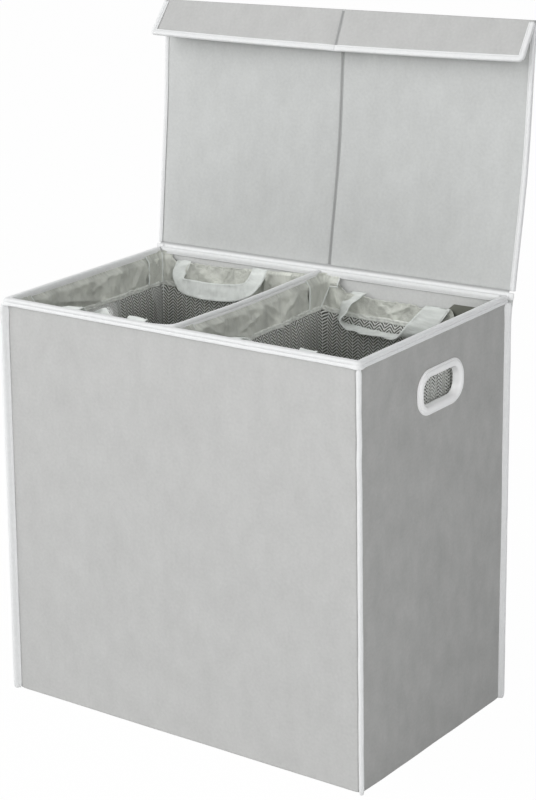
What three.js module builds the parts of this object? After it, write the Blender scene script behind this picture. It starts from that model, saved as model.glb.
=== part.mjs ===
// Laundry hamper with two bins: a stiff fabric-covered box on the floor, split by a divider into two
// bins, each with a removable bag, under one hinged lid with a front flap.
// Millimetres, +Z up, front towards -Y. The origin is the centre of the underside of the box.
import * as THREE from 'three';

// Fit
const SEAT_GAP = 0.3; // left between two pieces that touch
const ARC_STEPS = 5; // straight steps in a quarter turn

// Box
const BOX_WIDTH = 600;
const BOX_DEPTH = 358;
const BOX_HEIGHT = 600;
const BOARD = 5; // covered board of a wall
const BOTTOM_CLOTH = 2;
const BASE_BOARD = 4;
const BASE_BOARD_PLAY = 1.2; // between a loose base board and the walls
const DIVIDER_BOARD = 3;

// White tape and piping
const TAPE = 2; // folded tape over the rim and the divider
const RIM_TAPE_HEIGHT = 13;
const RIM_CORNER = 7.5; // plan radius of the box's corners at the wall face
const PIPING_RADIUS = 3.6;
const PIPING_INSET = 3.3; // from the wall faces to the middle of the piping

// Grip in each side wall
const GRIP_HALF_LENGTH = 41; // of the opening
const GRIP_HALF_HEIGHT = 17;
const GRIP_CORNER = 14;
const GRIP_CENTRE_Y = 8;
const GRIP_BELOW_RIM = 83; // down to the middle of the opening
const GRIP_FLANGE = 14.5; // width of the ring around the opening
const GRIP_RISE = 6.2; // of the ring above the wall
const GRIP_EDGE_SHARE = 0.4; // of the rise, at the ring's two edges
const GRIP_SHOULDER_SHARE = 0.82; // of the rise and of the ring's width, beside its crown
const GRIP_NECK = 3; // wall of the neck that lines the hole
const GRIP_BACKING = 2; // thickness of the ring inside

// Bags
const BAG_CLOTH = 1.6;
const BAG_CORNER = 14;
const BAND_BELOW_RIM = 52; // down to the seam where the cloth band meets the net
const HEM_BELOW_RIM = 2.5;
const NET_INSET = 10; // how far the net hangs in from the band, just under it
const NET_SHOULDER = 15; // height over which it draws in
const NET_FOOT_INSET = 14;
const NET_FOOT_CORNER = 22;
const FOOT_STEPS = 4;
const WALL_STEPS = 16; // along the wall whose hem sags
const LEFT_BAG_SAG = 17; // of the hem along the back wall
const RIGHT_BAG_SAG = 30;
const SAG_START_SHARES = [0, 0.2]; // of the back wall, from its left corner
const SAG_END_SHARES = [0.7, 1];

// Corner tabs of the bags
const TAB_CLOTH = 1.4;
const TAB_LEG = 20;
const TAB_HEIGHT = 44;
const TAB_BELOW_RIM = 3.5;

// Strap handles of the bags
const STRAP = 2.4; // thickness
const STRAP_WIDTH = 26;
const STRAP_SPREAD = 130; // between the middles of the two arms
const STRAP_DROP = 48; // from the hinge line to the bottom of the loop
const STRAP_CORNER = 30; // outer radius of the loop
const STRAP_HANG = THREE.MathUtils.degToRad(20); // off the vertical, into the bin
const FRONT_STRAP_BELOW_RIM = 8; // down to the hinge lines
const LEFT_BACK_STRAP_BELOW_RIM = 23;
const RIGHT_BACK_STRAP_BELOW_RIM = 36;
const LEFT_FRONT_STRAP_SHIFT = 16; // of the loops from the middle of the bin
const LEFT_BACK_STRAP_SHIFT = -30;
const RIGHT_FRONT_STRAP_SHIFT = 2;
const RIGHT_BACK_STRAP_SHIFT = -19;

// Lid and flap
const LID_BOARD = 4;
const LID_OVERHANG = 8; // past each side wall
const LID_TAPE = 1.2;
const LID_TAPE_GAP = 0.2;
const LID_TAPE_WIDTH = 8;
const LID_TAPE_STOP = 5; // short of the flap line, clear of the turned flap
const LID_REST_GAP = 0.6; // closed lid over the rim
const LID_SEAM = 5; // gap between the two boards
const SEAM_CLOTH = 1.5;
const HINGE_OUT = 4; // hinge line behind the back wall
const HINGE_ROLL = 1.8; // radius of the folded cloth on the hinge line
const HINGE_CLOTH = 1.2;
const LID_LENGTH = 371; // hinge line to flap line
const LID_OPEN = THREE.MathUtils.degToRad(96.5);
const FLAP_BOARD = 3;
const FLAP_DEPTH = 60;
const FLAP_ROLL = 1.6;
const FLAP_TAPE_WIDTH = 7;
const FLAP_TAPE_START = 9; // past the flap line, clear of the tape on the lid
const FLAP_SWING = THREE.MathUtils.degToRad(70); // turned in from square to the lid while it is open

// Worked out from the sizes above
const HALF_W = BOX_WIDTH / 2;
const HALF_D = BOX_DEPTH / 2;
const FLOOR_Z = BOTTOM_CLOTH + SEAT_GAP; // what stands on the bottom cloth
const WALL_TOP = BOX_HEIGHT - TAPE - SEAT_GAP;
const TAPE_FOOT = BOX_HEIGHT - RIM_TAPE_HEIGHT;
const WALL_CORNER = PIPING_INSET + PIPING_RADIUS + SEAT_GAP; // a wall stops here, short of the piping
const TAPE_OUT = SEAT_GAP + TAPE; // outer face of the tape, past the wall
const TAPE_IN = BOARD + TAPE_OUT; // its inner face
const BAG_WALL = TAPE_IN + SEAT_GAP; // outside of a bag, in from the outer wall faces
const DIVIDER_TAPE = DIVIDER_BOARD / 2 + TAPE_OUT;
const BAG_INNER_X = DIVIDER_TAPE + SEAT_GAP;
const BAG_HALF_X = (HALF_W - BAG_WALL - BAG_INNER_X) / 2;
const BAG_HALF_Y = HALF_D - BAG_WALL;
const BAG_CENTRE_X = BAG_INNER_X + BAG_HALF_X;
const GRIP_CENTRE_Z = BOX_HEIGHT - GRIP_BELOW_RIM;
const HEM_Z = BOX_HEIGHT - HEM_BELOW_RIM;
const BAG_SEAM_Z = BOX_HEIGHT - BAND_BELOW_RIM;
const NET_TOP = BAG_SEAM_Z - SEAT_GAP;
const NET_FOOT = FLOOR_Z + BASE_BOARD + SEAT_GAP;
const LID_COVER = LID_BOARD / 2 + LID_TAPE_GAP + LID_TAPE; // half the lid's thickness at its tape
const HINGE_Y = HALF_D + HINGE_OUT;
const HINGE_Z = BOX_HEIGHT + LID_REST_GAP + LID_COVER;
const LID_HALF = HALF_W + LID_OVERHANG;
const LID_EDGE = LID_HALF - LID_TAPE - LID_TAPE_GAP; // edge of the lid's boards
const BOARD_START = HINGE_ROLL + SEAT_GAP; // a lid board begins here, past the hinge line
const BOARD_END = LID_LENGTH - HINGE_CLOTH / 2 - SEAT_GAP;
const FLAP_LINE_DROP = LID_BOARD / 2 + FLAP_ROLL + SEAT_GAP; // below the middle of the lid
const FLAP_START = FLAP_ROLL + SEAT_GAP;
const FLAP_END = FLAP_DEPTH - LID_TAPE - LID_TAPE_GAP;

// Materials
function finish(color, roughness, metalness = 0) {
  return new THREE.MeshStandardMaterial({ color, roughness, metalness });
}
const GREY_CLOTH = finish(0xc2c2c0, 0.95);
const WHITE_TAPE = finish(0xf2f2f1, 0.8);
const WHITE_PLASTIC = finish(0xf0f0ee, 0.35);
const SATIN = finish(0x9a9d95, 0.5);
const NET = finish(0x6c6c6c, 0.9);
const WEBBING = finish(0xd4dcd8, 0.85);
const PALE_CLOTH = finish(0xd9dde2, 0.9);
const PLAIN_BOARD = finish(0xb9b8b4, 0.9);

// Closed outlines

// A rounded rectangle, anticlockwise from the right end of its back (+b) side, which is split into
// steps of its own. Each point is [a, b].
function roundedLoop(halfA, halfB, radius, backSteps = 1, arcSteps = ARC_STEPS) {
  const points = [];
  const corners = [[1, 1], [-1, 1], [-1, -1], [1, -1]];
  corners.forEach(([signA, signB], corner) => {
    for (let step = 0; step <= arcSteps; step += 1) {
      const angle = (corner + step / arcSteps) * Math.PI / 2;
      points.push([
        signA * (halfA - radius) + radius * Math.cos(angle),
        signB * (halfB - radius) + radius * Math.sin(angle),
      ]);
    }
    if (corner === 0) {
      const half = halfA - radius;
      for (let step = 1; step < backSteps; step += 1) {
        points.push([half - 2 * half * step / backSteps, halfB]);
      }
    }
  });
  return points;
}

// At each point of a path, the step outwards that moves both its sides out by one.
function mitres(path, closed) {
  const count = path.length;
  const sideNormal = (from, to) => {
    const run = [to[0] - from[0], to[1] - from[1]];
    const length = Math.hypot(...run);
    return [run[1] / length, -run[0] / length];
  };
  return path.map((point, i) => {
    const before = path[closed ? (i + count - 1) % count : Math.max(i - 1, 0)];
    const after = path[closed ? (i + 1) % count : Math.min(i + 1, count - 1)];
    const first = before === point ? sideNormal(point, after) : sideNormal(before, point);
    const second = after === point ? first : sideNormal(point, after);
    const scale = 1 / (1 + first[0] * second[0] + first[1] * second[1]);
    return [(first[0] + second[0]) * scale, (first[1] + second[1]) * scale];
  });
}

// Solids

function signedVolume(positions, indices) {
  const corner = (i) => new THREE.Vector3(...positions[indices[i]]);
  let volume = 0;
  for (let i = 0; i < indices.length; i += 3) {
    volume += corner(i).dot(corner(i + 1).cross(corner(i + 2))) / 6;
  }
  return volume;
}

function solid(positions, indices) {
  const faces = [...indices];
  if (signedVolume(positions, faces) < 0) faces.reverse();
  const geometry = new THREE.BufferGeometry();
  geometry.setAttribute('position', new THREE.Float32BufferAttribute(positions.flat(), 3));
  geometry.setIndex(faces);
  geometry.computeVertexNormals();
  return geometry;
}

// Skins a row of equal closed sections. A closed row joins its last section to its first, and an
// open row is capped at both ends.
function loft(sections, closed) {
  const rows = sections.length;
  const columns = sections[0].length;
  const positions = sections.flat();
  const indices = [];
  for (let row = 0; row < (closed ? rows : rows - 1); row += 1) {
    for (let column = 0; column < columns; column += 1) {
      const next = (column + 1) % columns;
      const here = row * columns;
      const there = ((row + 1) % rows) * columns;
      indices.push(here + column, here + next, there + next);
      indices.push(here + column, there + next, there + column);
    }
  }
  if (!closed) {
    const first = sections[0].map((point) => new THREE.Vector3(...point));
    capFaces(first).forEach(([a, b, c]) => {
      const last = (rows - 1) * columns;
      indices.push(c, b, a, last + a, last + b, last + c);
    });
  }
  return solid(positions, indices);
}

// Triangles over a flat closed section, in the section's own turning sense.
function capFaces(section) {
  const area = new THREE.Vector3();
  section.forEach((point, i) => {
    area.add(new THREE.Vector3().crossVectors(point, section[(i + 1) % section.length]));
  });
  const normal = area.normalize();
  const across = section[1].clone().sub(section[0]).normalize();
  const up = new THREE.Vector3().crossVectors(normal, across);
  const flat = section.map((point) => new THREE.Vector2(point.dot(across), point.dot(up)));
  return THREE.ShapeUtils.triangulateShape(flat, []);
}

// Carries a profile of [outwards, along] points round a path, and places each point in space.
function sweep(path, closed, profile, place) {
  const outwards = mitres(path, closed);
  const sections = path.map(([a, b], i) => profile(i).map(([out, along]) => (
    place(a + outwards[i][0] * out, b + outwards[i][1] * out, along)
  )));
  return loft(sections, closed);
}

function block(low, high) {
  const size = high.map((value, i) => value - low[i]);
  const geometry = new THREE.BoxGeometry(...size);
  return geometry.translate(...low.map((value, i) => value + size[i] / 2));
}

// A plate whose outline lies in a plane across X, from x on by its thickness.
function plateAcrossX(shape, x, thickness) {
  const geometry = new THREE.ExtrudeGeometry(shape, { depth: thickness, bevelEnabled: false });
  const turn = new THREE.Matrix4().makeBasis(
    new THREE.Vector3(0, 1, 0), new THREE.Vector3(0, 0, 1), new THREE.Vector3(1, 0, 0),
  );
  return geometry.applyMatrix4(turn).translate(x, 0, 0);
}

function shapeOf(points) {
  return new THREE.Shape(points.map(([a, b]) => new THREE.Vector2(a, b)));
}

const hamper = new THREE.Group();

function piece(parent, name, geometry, material) {
  const mesh = new THREE.Mesh(geometry, material);
  mesh.name = name;
  parent.add(mesh);
  return mesh;
}

// Box

// Opening of a grip, grown by a margin, as [y, z] points.
function gripLoop(margin) {
  return roundedLoop(GRIP_HALF_LENGTH + margin, GRIP_HALF_HEIGHT + margin, GRIP_CORNER + margin)
    .map(([y, z]) => [y + GRIP_CENTRE_Y, z + GRIP_CENTRE_Z]);
}

function addWalls() {
  const endX = HALF_W - WALL_CORNER;
  const endY = HALF_D - WALL_CORNER;
  const front = block([-endX, -HALF_D, FLOOR_Z], [endX, BOARD - HALF_D, WALL_TOP]);
  const back = block([-endX, HALF_D - BOARD, FLOOR_Z], [endX, HALF_D, WALL_TOP]);
  piece(hamper, 'front_panel', front, GREY_CLOTH);
  piece(hamper, 'back_panel', back, GREY_CLOTH);
  const side = shapeOf([[-endY, FLOOR_Z], [endY, FLOOR_Z], [endY, WALL_TOP], [-endY, WALL_TOP]]);
  side.holes.push(shapeOf(gripLoop(GRIP_NECK + SEAT_GAP)));
  piece(hamper, 'left_panel', plateAcrossX(side, -HALF_W, BOARD), GREY_CLOTH);
  piece(hamper, 'right_panel', plateAcrossX(side, HALF_W - BOARD, BOARD), GREY_CLOTH);
}

function addFloor() {
  const endX = HALF_W - SEAT_GAP;
  const endY = HALF_D - SEAT_GAP;
  const bottom = block([-endX, -endY, 0], [endX, endY, BOTTOM_CLOTH]);
  piece(hamper, 'bottom_panel', bottom, GREY_CLOTH);
  const inner = DIVIDER_BOARD / 2 + SEAT_GAP;
  const outer = HALF_W - BOARD - BASE_BOARD_PLAY;
  const reach = HALF_D - BOARD - BASE_BOARD_PLAY;
  for (const [side, low, high] of [['left', -outer, -inner], ['right', inner, outer]]) {
    const board = block([low, -reach, FLOOR_Z], [high, reach, FLOOR_Z + BASE_BOARD]);
    piece(hamper, `${side}_base_board`, board, PLAIN_BOARD);
  }
}

// The divider stands on the bottom cloth and is notched under the rim tape at both ends.
function addDivider() {
  const reach = HALF_D - BOARD - SEAT_GAP;
  const notched = HALF_D - TAPE_IN - SEAT_GAP;
  const notchZ = TAPE_FOOT - SEAT_GAP;
  const outline = shapeOf([
    [-reach, FLOOR_Z], [reach, FLOOR_Z], [reach, notchZ], [notched, notchZ],
    [notched, WALL_TOP], [-notched, WALL_TOP], [-notched, notchZ], [-reach, notchZ],
  ]);
  const board = plateAcrossX(outline, -DIVIDER_BOARD / 2, DIVIDER_BOARD);
  piece(hamper, 'divider_panel', board, GREY_CLOTH);
  const inner = DIVIDER_BOARD / 2 + SEAT_GAP;
  const fold = foldedTape(-inner, inner, TAPE);
  const path = [[0, -notched], [0, notched]];
  const tape = sweep(path, false, () => fold, (x, y, z) => [x, y, z]);
  piece(hamper, 'divider_binding', tape, WHITE_TAPE);
}

// Tape folded over a top edge: [outwards, height] points around the faces it covers.
function foldedTape(insideFace, outsideFace, thickness) {
  const top = BOX_HEIGHT - thickness;
  return [
    [outsideFace + thickness, TAPE_FOOT], [outsideFace + thickness, BOX_HEIGHT],
    [insideFace - thickness, BOX_HEIGHT], [insideFace - thickness, TAPE_FOOT],
    [insideFace, TAPE_FOOT], [insideFace, top], [outsideFace, top], [outsideFace, TAPE_FOOT],
  ];
}

function addRim() {
  const path = roundedLoop(HALF_W, HALF_D, RIM_CORNER);
  const fold = foldedTape(-BOARD - SEAT_GAP, SEAT_GAP, TAPE);
  const tape = sweep(path, true, () => fold, (x, y, z) => [x, y, z]);
  piece(hamper, 'rim_binding', tape, WHITE_TAPE);
}

function addPiping() {
  const height = TAPE_FOOT - SEAT_GAP - FLOOR_Z;
  const sides = 4 * ARC_STEPS;
  for (const [depthName, signY] of [['front', -1], ['back', 1]]) {
    for (const [sideName, signX] of [['left', -1], ['right', 1]]) {
      const cord = new THREE.CylinderGeometry(PIPING_RADIUS, PIPING_RADIUS, height, sides);
      cord.rotateX(Math.PI / 2);
      const mesh = piece(hamper, `${depthName}_${sideName}_piping`, cord, WHITE_TAPE);
      mesh.position.x = signX * (HALF_W - PIPING_INSET);
      mesh.position.y = signY * (HALF_D - PIPING_INSET);
      mesh.position.z = FLOOR_Z + height / 2;
    }
  }
}

// Each grip is a flanged ring whose neck lines the hole, held by a flat ring inside the wall.
function addGrips() {
  const neckEnd = -BOARD - SEAT_GAP - GRIP_BACKING;
  const edge = GRIP_RISE * GRIP_EDGE_SHARE;
  const shoulder = GRIP_RISE * GRIP_SHOULDER_SHARE;
  const beside = GRIP_FLANGE * GRIP_SHOULDER_SHARE;
  const ring = [
    [0, neckEnd], [GRIP_NECK, neckEnd], [GRIP_NECK, SEAT_GAP], [GRIP_FLANGE, SEAT_GAP],
    [GRIP_FLANGE, edge], [beside, shoulder], [GRIP_FLANGE / 2, GRIP_RISE],
    [GRIP_FLANGE - beside, shoulder], [0, edge],
  ];
  const seat = GRIP_NECK + SEAT_GAP;
  const backing = [
    [seat, neckEnd], [GRIP_FLANGE, neckEnd],
    [GRIP_FLANGE, neckEnd + GRIP_BACKING], [seat, neckEnd + GRIP_BACKING],
  ];
  for (const [side, sign] of [['left', -1], ['right', 1]]) {
    const place = (y, z, out) => [sign * (HALF_W + out), y, z];
    const outer = sweep(gripLoop(0), true, () => ring, place);
    const inner = sweep(gripLoop(0), true, () => backing, place);
    piece(hamper, `${side}_grip_ring`, outer, WHITE_PLASTIC);
    piece(hamper, `${side}_grip_backing_ring`, inner, WHITE_PLASTIC);
  }
}

// Bags

function bagLoop(inset, backSteps = 1) {
  const radius = Math.max(BAG_CORNER - inset, BAG_CLOTH);
  return roundedLoop(BAG_HALF_X - inset, BAG_HALF_Y - inset, radius, backSteps);
}

// How far the hem hangs down at x, across the back wall: none at its corners.
function hemSag(x, sag) {
  const share = (x + BAG_HALF_X) / (2 * BAG_HALF_X);
  const start = THREE.MathUtils.smoothstep(share, ...SAG_START_SHARES);
  const end = 1 - THREE.MathUtils.smoothstep(share, ...SAG_END_SHARES);
  return sag * start * end;
}

function bandSolid(sag) {
  const path = bagLoop(0, WALL_STEPS);
  const profile = (i) => {
    const [x, y] = path[i];
    const top = HEM_Z - (y === BAG_HALF_Y ? hemSag(x, sag) : 0);
    return [[0, BAG_SEAM_Z], [0, top], [-BAG_CLOTH, top], [-BAG_CLOTH, BAG_SEAM_Z]];
  };
  return sweep(path, true, profile, (x, y, z) => [x, y, z]);
}

// Heights and insets of the net from its foot to its top, for its outside or its inside.
function netRows(cloth) {
  const rows = [];
  const foot = NET_FOOT + cloth;
  const corner = NET_FOOT_CORNER - cloth;
  for (let step = 0; step <= FOOT_STEPS; step += 1) {
    const angle = step / FOOT_STEPS * Math.PI / 2;
    const inset = NET_FOOT_INSET + cloth + corner * (1 - Math.sin(angle));
    rows.push([foot + corner * (1 - Math.cos(angle)), inset]);
  }
  rows.push([NET_TOP - NET_SHOULDER, NET_INSET + cloth]);
  rows.push([NET_TOP, cloth]);
  return rows;
}

function netSolid() {
  const section = ([z, inset]) => {
    const radius = BAG_CORNER + NET_FOOT_CORNER;
    const loop = roundedLoop(BAG_HALF_X - inset, BAG_HALF_Y - inset, Math.max(radius - inset, BAG_CORNER));
    return loop.map(([x, y]) => [x, y, z]);
  };
  const outside = netRows(0).map(section);
  const inside = netRows(BAG_CLOTH).map(section).reverse();
  return loft([...outside, ...inside], false);
}

// An L of doubled cloth in a corner of the band, its legs along the two walls.
function tabSolid(signX, signY) {
  const inset = BAG_CLOTH + SEAT_GAP;
  const radius = BAG_CORNER - inset;
  const cornerX = BAG_HALF_X - inset - radius;
  const cornerY = BAG_HALF_Y - inset - radius;
  const path = [[cornerX + radius, cornerY - TAB_LEG]];
  for (let step = 0; step <= ARC_STEPS; step += 1) {
    const angle = step / ARC_STEPS * Math.PI / 2;
    path.push([cornerX + radius * Math.cos(angle), cornerY + radius * Math.sin(angle)]);
  }
  path.push([cornerX - TAB_LEG, cornerY + radius]);
  const top = BOX_HEIGHT - TAB_BELOW_RIM;
  const foot = top - TAB_HEIGHT;
  const profile = [[0, foot], [0, top], [-TAB_CLOTH, top], [-TAB_CLOTH, foot]];
  return sweep(path, false, () => profile, (x, y, z) => [signX * x, signY * y, z]);
}

// A flat U of webbing that hangs from its hinge line, which is its own X axis.
function strapSolid() {
  const outer = (STRAP_SPREAD + STRAP_WIDTH) / 2;
  const inner = (STRAP_SPREAD - STRAP_WIDTH) / 2;
  const innerCorner = Math.max(STRAP_CORNER - STRAP_WIDTH, STRAP);
  const innerDrop = STRAP_DROP - STRAP_WIDTH;
  const shape = new THREE.Shape();
  shape.moveTo(-outer, 0);
  shape.lineTo(-outer, STRAP_CORNER - STRAP_DROP);
  shape.absarc(STRAP_CORNER - outer, STRAP_CORNER - STRAP_DROP, STRAP_CORNER, Math.PI, 1.5 * Math.PI);
  shape.lineTo(outer - STRAP_CORNER, -STRAP_DROP);
  shape.absarc(outer - STRAP_CORNER, STRAP_CORNER - STRAP_DROP, STRAP_CORNER, 1.5 * Math.PI, 2 * Math.PI);
  shape.lineTo(outer, 0);
  shape.lineTo(inner, 0);
  shape.lineTo(inner, innerCorner - innerDrop);
  shape.absarc(inner - innerCorner, innerCorner - innerDrop, innerCorner, 0, -Math.PI / 2, true);
  shape.lineTo(innerCorner - inner, -innerDrop);
  shape.absarc(innerCorner - inner, innerCorner - innerDrop, innerCorner, -Math.PI / 2, -Math.PI, true);
  shape.lineTo(-inner, 0);
  shape.closePath();
  const options = { depth: STRAP, bevelEnabled: false, curveSegments: ARC_STEPS };
  const geometry = new THREE.ExtrudeGeometry(shape, options);
  return geometry.translate(0, 0, -STRAP / 2).rotateX(Math.PI / 2);
}

function addStrap(bag, name, signY, belowRim, shift) {
  const mesh = piece(bag, name, strapSolid(), WEBBING);
  const hingeY = BAG_HALF_Y - BAG_CLOTH - SEAT_GAP - STRAP / 2;
  mesh.position.set(shift, signY * hingeY, BOX_HEIGHT - belowRim);
  mesh.rotation.x = -signY * STRAP_HANG;
}

function addBag(side, sign, sag) {
  const bag = new THREE.Group();
  bag.position.x = sign * BAG_CENTRE_X;
  hamper.add(bag);
  piece(bag, `${side}_bag_band`, bandSolid(sag), SATIN);
  piece(bag, `${side}_bag_net`, netSolid(), NET);
  for (const [depthName, signY] of [['front', -1], ['back', 1]]) {
    for (const [cornerName, signX] of [['left', -1], ['right', 1]]) {
      const name = `${side}_bag_${depthName}_${cornerName}_tab`;
      piece(bag, name, tabSolid(signX, signY), SATIN);
    }
  }
  return bag;
}

// Lid, drawn closed about its hinge line and then opened

// The folded cloth of a hinge: a round roll on the hinge line, which is the X axis, and a flat leaf
// between two Y places that runs down from it to its foot.
function hingeCloth(radius, near, far, foot) {
  const meet = (y) => Math.atan2(-Math.sqrt(radius ** 2 - y ** 2), y);
  const start = meet(far);
  const end = meet(near) + 2 * Math.PI;
  const steps = 4 * ARC_STEPS;
  const outline = [[near, foot], [far, foot]];
  for (let step = 0; step <= steps; step += 1) {
    const angle = start + (end - start) * step / steps;
    outline.push([radius * Math.cos(angle), radius * Math.sin(angle)]);
  }
  return plateAcrossX(shapeOf(outline), -LID_EDGE, 2 * LID_EDGE);
}

// The lid's hinge cloth is sewn to the back of the rim tape.
function addHingeStrip() {
  const leaf = HALF_D + TAPE_OUT + SEAT_GAP - HINGE_Y;
  const cloth = hingeCloth(HINGE_ROLL, leaf, leaf + HINGE_CLOTH, TAPE_FOOT - HINGE_Z);
  const strip = piece(hamper, 'lid_hinge_strip', cloth, PALE_CLOTH);
  strip.position.set(0, HINGE_Y, HINGE_Z);
}

// Tape folded over the edge of a board: [outwards, across] points.
function edgeTape(board, width) {
  const face = board / 2 + LID_TAPE_GAP;
  const cover = face + LID_TAPE;
  return [
    [LID_TAPE_GAP + LID_TAPE, -cover], [LID_TAPE_GAP + LID_TAPE, cover], [-width, cover],
    [-width, face], [LID_TAPE_GAP, face], [LID_TAPE_GAP, -face], [-width, -face], [-width, -cover],
  ];
}

// Two boards with the seam cloth between them, from start to end ahead of the hinge line.
function addBoards(parent, name, board, start, end) {
  const half = board / 2;
  const seam = LID_SEAM / 2;
  for (const [side, low, high] of [['left', -LID_EDGE, -seam], ['right', seam, LID_EDGE]]) {
    const panel = block([low, -end, -half], [high, -start, half]);
    piece(parent, `${name}_${side}_panel`, panel, GREY_CLOTH);
  }
  const cloth = seam - SEAT_GAP;
  const strip = block([-cloth, -end, -SEAM_CLOTH / 2], [cloth, -start, SEAM_CLOTH / 2]);
  piece(parent, `${name}_centre_seam`, strip, GREY_CLOTH);
}

function addLid() {
  const lid = new THREE.Group();
  lid.position.set(0, HINGE_Y, HINGE_Z);
  lid.rotation.x = -LID_OPEN;
  hamper.add(lid);
  addBoards(lid, 'lid', LID_BOARD, BOARD_START, BOARD_END);
  const tape = edgeTape(LID_BOARD, LID_TAPE_WIDTH);
  for (const [side, sign] of [['left', -1], ['right', 1]]) {
    const path = [[LID_EDGE, LID_TAPE_STOP - LID_LENGTH], [LID_EDGE, -BOARD_START]];
    const binding = sweep(path, false, () => tape, (x, y, z) => [sign * x, y, z]);
    piece(lid, `lid_${side}_binding`, binding, WHITE_TAPE);
  }
  const rise = FLAP_LINE_DROP + LID_BOARD / 2;
  const cloth = hingeCloth(FLAP_ROLL, -HINGE_CLOTH / 2, HINGE_CLOTH / 2, -rise);
  const crease = piece(lid, 'flap_hinge_strip', cloth.rotateX(Math.PI), GREY_CLOTH);
  crease.position.set(0, -LID_LENGTH, -FLAP_LINE_DROP);
  addFlap(lid);
}

// The flap is drawn in line with the lid, ahead of its own hinge line, and then turned down and in.
function addFlap(lid) {
  const flap = new THREE.Group();
  flap.position.set(0, -LID_LENGTH, -FLAP_LINE_DROP);
  flap.rotation.x = Math.PI / 2 + FLAP_SWING;
  lid.add(flap);
  addBoards(flap, 'flap', FLAP_BOARD, FLAP_START, FLAP_END);
  const path = [
    [-LID_EDGE, -FLAP_TAPE_START], [-LID_EDGE, -FLAP_END],
    [LID_EDGE, -FLAP_END], [LID_EDGE, -FLAP_TAPE_START],
  ];
  const tape = edgeTape(FLAP_BOARD, FLAP_TAPE_WIDTH);
  const binding = sweep(path, false, () => tape, (x, y, z) => [x, y, z]);
  piece(flap, 'flap_binding', binding, WHITE_TAPE);
}

addWalls();
addFloor();
addDivider();
addRim();
addPiping();
addGrips();
const leftBag = addBag('left', -1, LEFT_BAG_SAG);
addStrap(leftBag, 'left_bag_front_handle', -1, FRONT_STRAP_BELOW_RIM, LEFT_FRONT_STRAP_SHIFT);
addStrap(leftBag, 'left_bag_back_handle', 1, LEFT_BACK_STRAP_BELOW_RIM, LEFT_BACK_STRAP_SHIFT);
const rightBag = addBag('right', 1, RIGHT_BAG_SAG);
addStrap(rightBag, 'right_bag_front_handle', -1, FRONT_STRAP_BELOW_RIM, RIGHT_FRONT_STRAP_SHIFT);
addStrap(rightBag, 'right_bag_back_handle', 1, RIGHT_BACK_STRAP_BELOW_RIM, RIGHT_BACK_STRAP_SHIFT);
addHingeStrip();
addLid();

export default hamper;
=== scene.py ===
# Looks of the two-bin laundry hamper: every piece of cloth, tape, net and plastic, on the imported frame.
# Metres, +Z up, front towards -Y. Sizes are written in millimetres times MM.
import math

import bpy
import numpy as np
from mathutils import Matrix, Vector, noise


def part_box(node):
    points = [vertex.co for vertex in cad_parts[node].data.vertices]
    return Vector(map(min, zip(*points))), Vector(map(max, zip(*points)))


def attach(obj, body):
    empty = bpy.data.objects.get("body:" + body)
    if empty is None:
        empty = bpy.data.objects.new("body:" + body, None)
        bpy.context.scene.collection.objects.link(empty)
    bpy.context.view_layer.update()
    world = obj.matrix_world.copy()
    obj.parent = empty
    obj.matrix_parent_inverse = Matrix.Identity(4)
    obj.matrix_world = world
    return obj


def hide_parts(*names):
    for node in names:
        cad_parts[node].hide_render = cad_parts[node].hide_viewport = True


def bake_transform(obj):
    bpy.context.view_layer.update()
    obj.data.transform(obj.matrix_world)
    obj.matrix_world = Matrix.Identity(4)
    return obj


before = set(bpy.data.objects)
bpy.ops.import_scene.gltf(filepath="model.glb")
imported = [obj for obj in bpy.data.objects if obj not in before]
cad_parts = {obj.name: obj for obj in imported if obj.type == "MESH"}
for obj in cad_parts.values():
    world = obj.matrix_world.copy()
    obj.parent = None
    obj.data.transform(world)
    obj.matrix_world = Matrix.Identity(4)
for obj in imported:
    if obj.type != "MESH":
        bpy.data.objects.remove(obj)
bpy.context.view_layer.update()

MM = 0.001
TINY = 1e-12
SMALL_GAP = 0.3 * MM
SIDES = (("left", -1), ("right", 1))
DEPTHS = (("front", -1), ("back", 1))

# Main sizes: mostly the CAD model's, with a few read more closely off the photograph
HALF_WIDTH = 300 * MM
HALF_DEPTH = 179 * MM
RIM_TOP = 600 * MM
RIM_FOOT = 589.7 * MM
RIM_CORNER = 4 * MM
PANEL_FOOT = 0.5 * MM
BOARD = 5 * MM
DIVIDER_REACH = 171.4 * MM
BAG_CENTRE = 148.25 * MM
BAG_HALF_X = 144.15 * MM
BAG_HALF_Y = 171.4 * MM
BAG_CORNER = 14 * MM
BAG_SEAM_Z = 548 * MM
NET_FOOT_Z = 6.8 * MM
GRIP_CENTRE = (8 * MM, 517 * MM)
GRIP_HALF = (44 * MM, 19.8 * MM)
GRIP_CORNER = 16 * MM
LID_HINGE = Vector((0, 183 * MM, 604 * MM))
LID_LENGTH = 371 * MM
LID_BOARD = 4 * MM
LID_HALF = 308 * MM
LID_EDGE = 306.6 * MM
LID_OPEN = math.radians(96.5)
LID_BOARD_START = 6 * MM
LID_BOARD_END = 370.1 * MM
LID_TAPE_STOP = 5 * MM
FLAP_LINE_DROP = 3.9 * MM
FLAP_BOARD = 3 * MM
FLAP_START = -1.3 * MM
FLAP_END = 58.8 * MM
FLAP_TAPE_START = 2.5 * MM
FLAP_OPEN = math.radians(20)
FRONT_STRAP_Z = 592 * MM
LEFT_BACK_STRAP_Z = 577 * MM
RIGHT_BACK_STRAP_Z = 564 * MM

# Camera, fitted to fifteen corners of the photograph
CAMERA_PLACE = Vector((1.612, -2.2178, 1.2813))
CAMERA_YAW = math.radians(35.563)
CAMERA_PITCH = math.radians(16.85)
CAMERA_ROLL = math.radians(-0.974)
FOCAL_PIXELS = 2033.4
FRAME_HEIGHT_PIXELS = 800
SENSOR = 36


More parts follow.
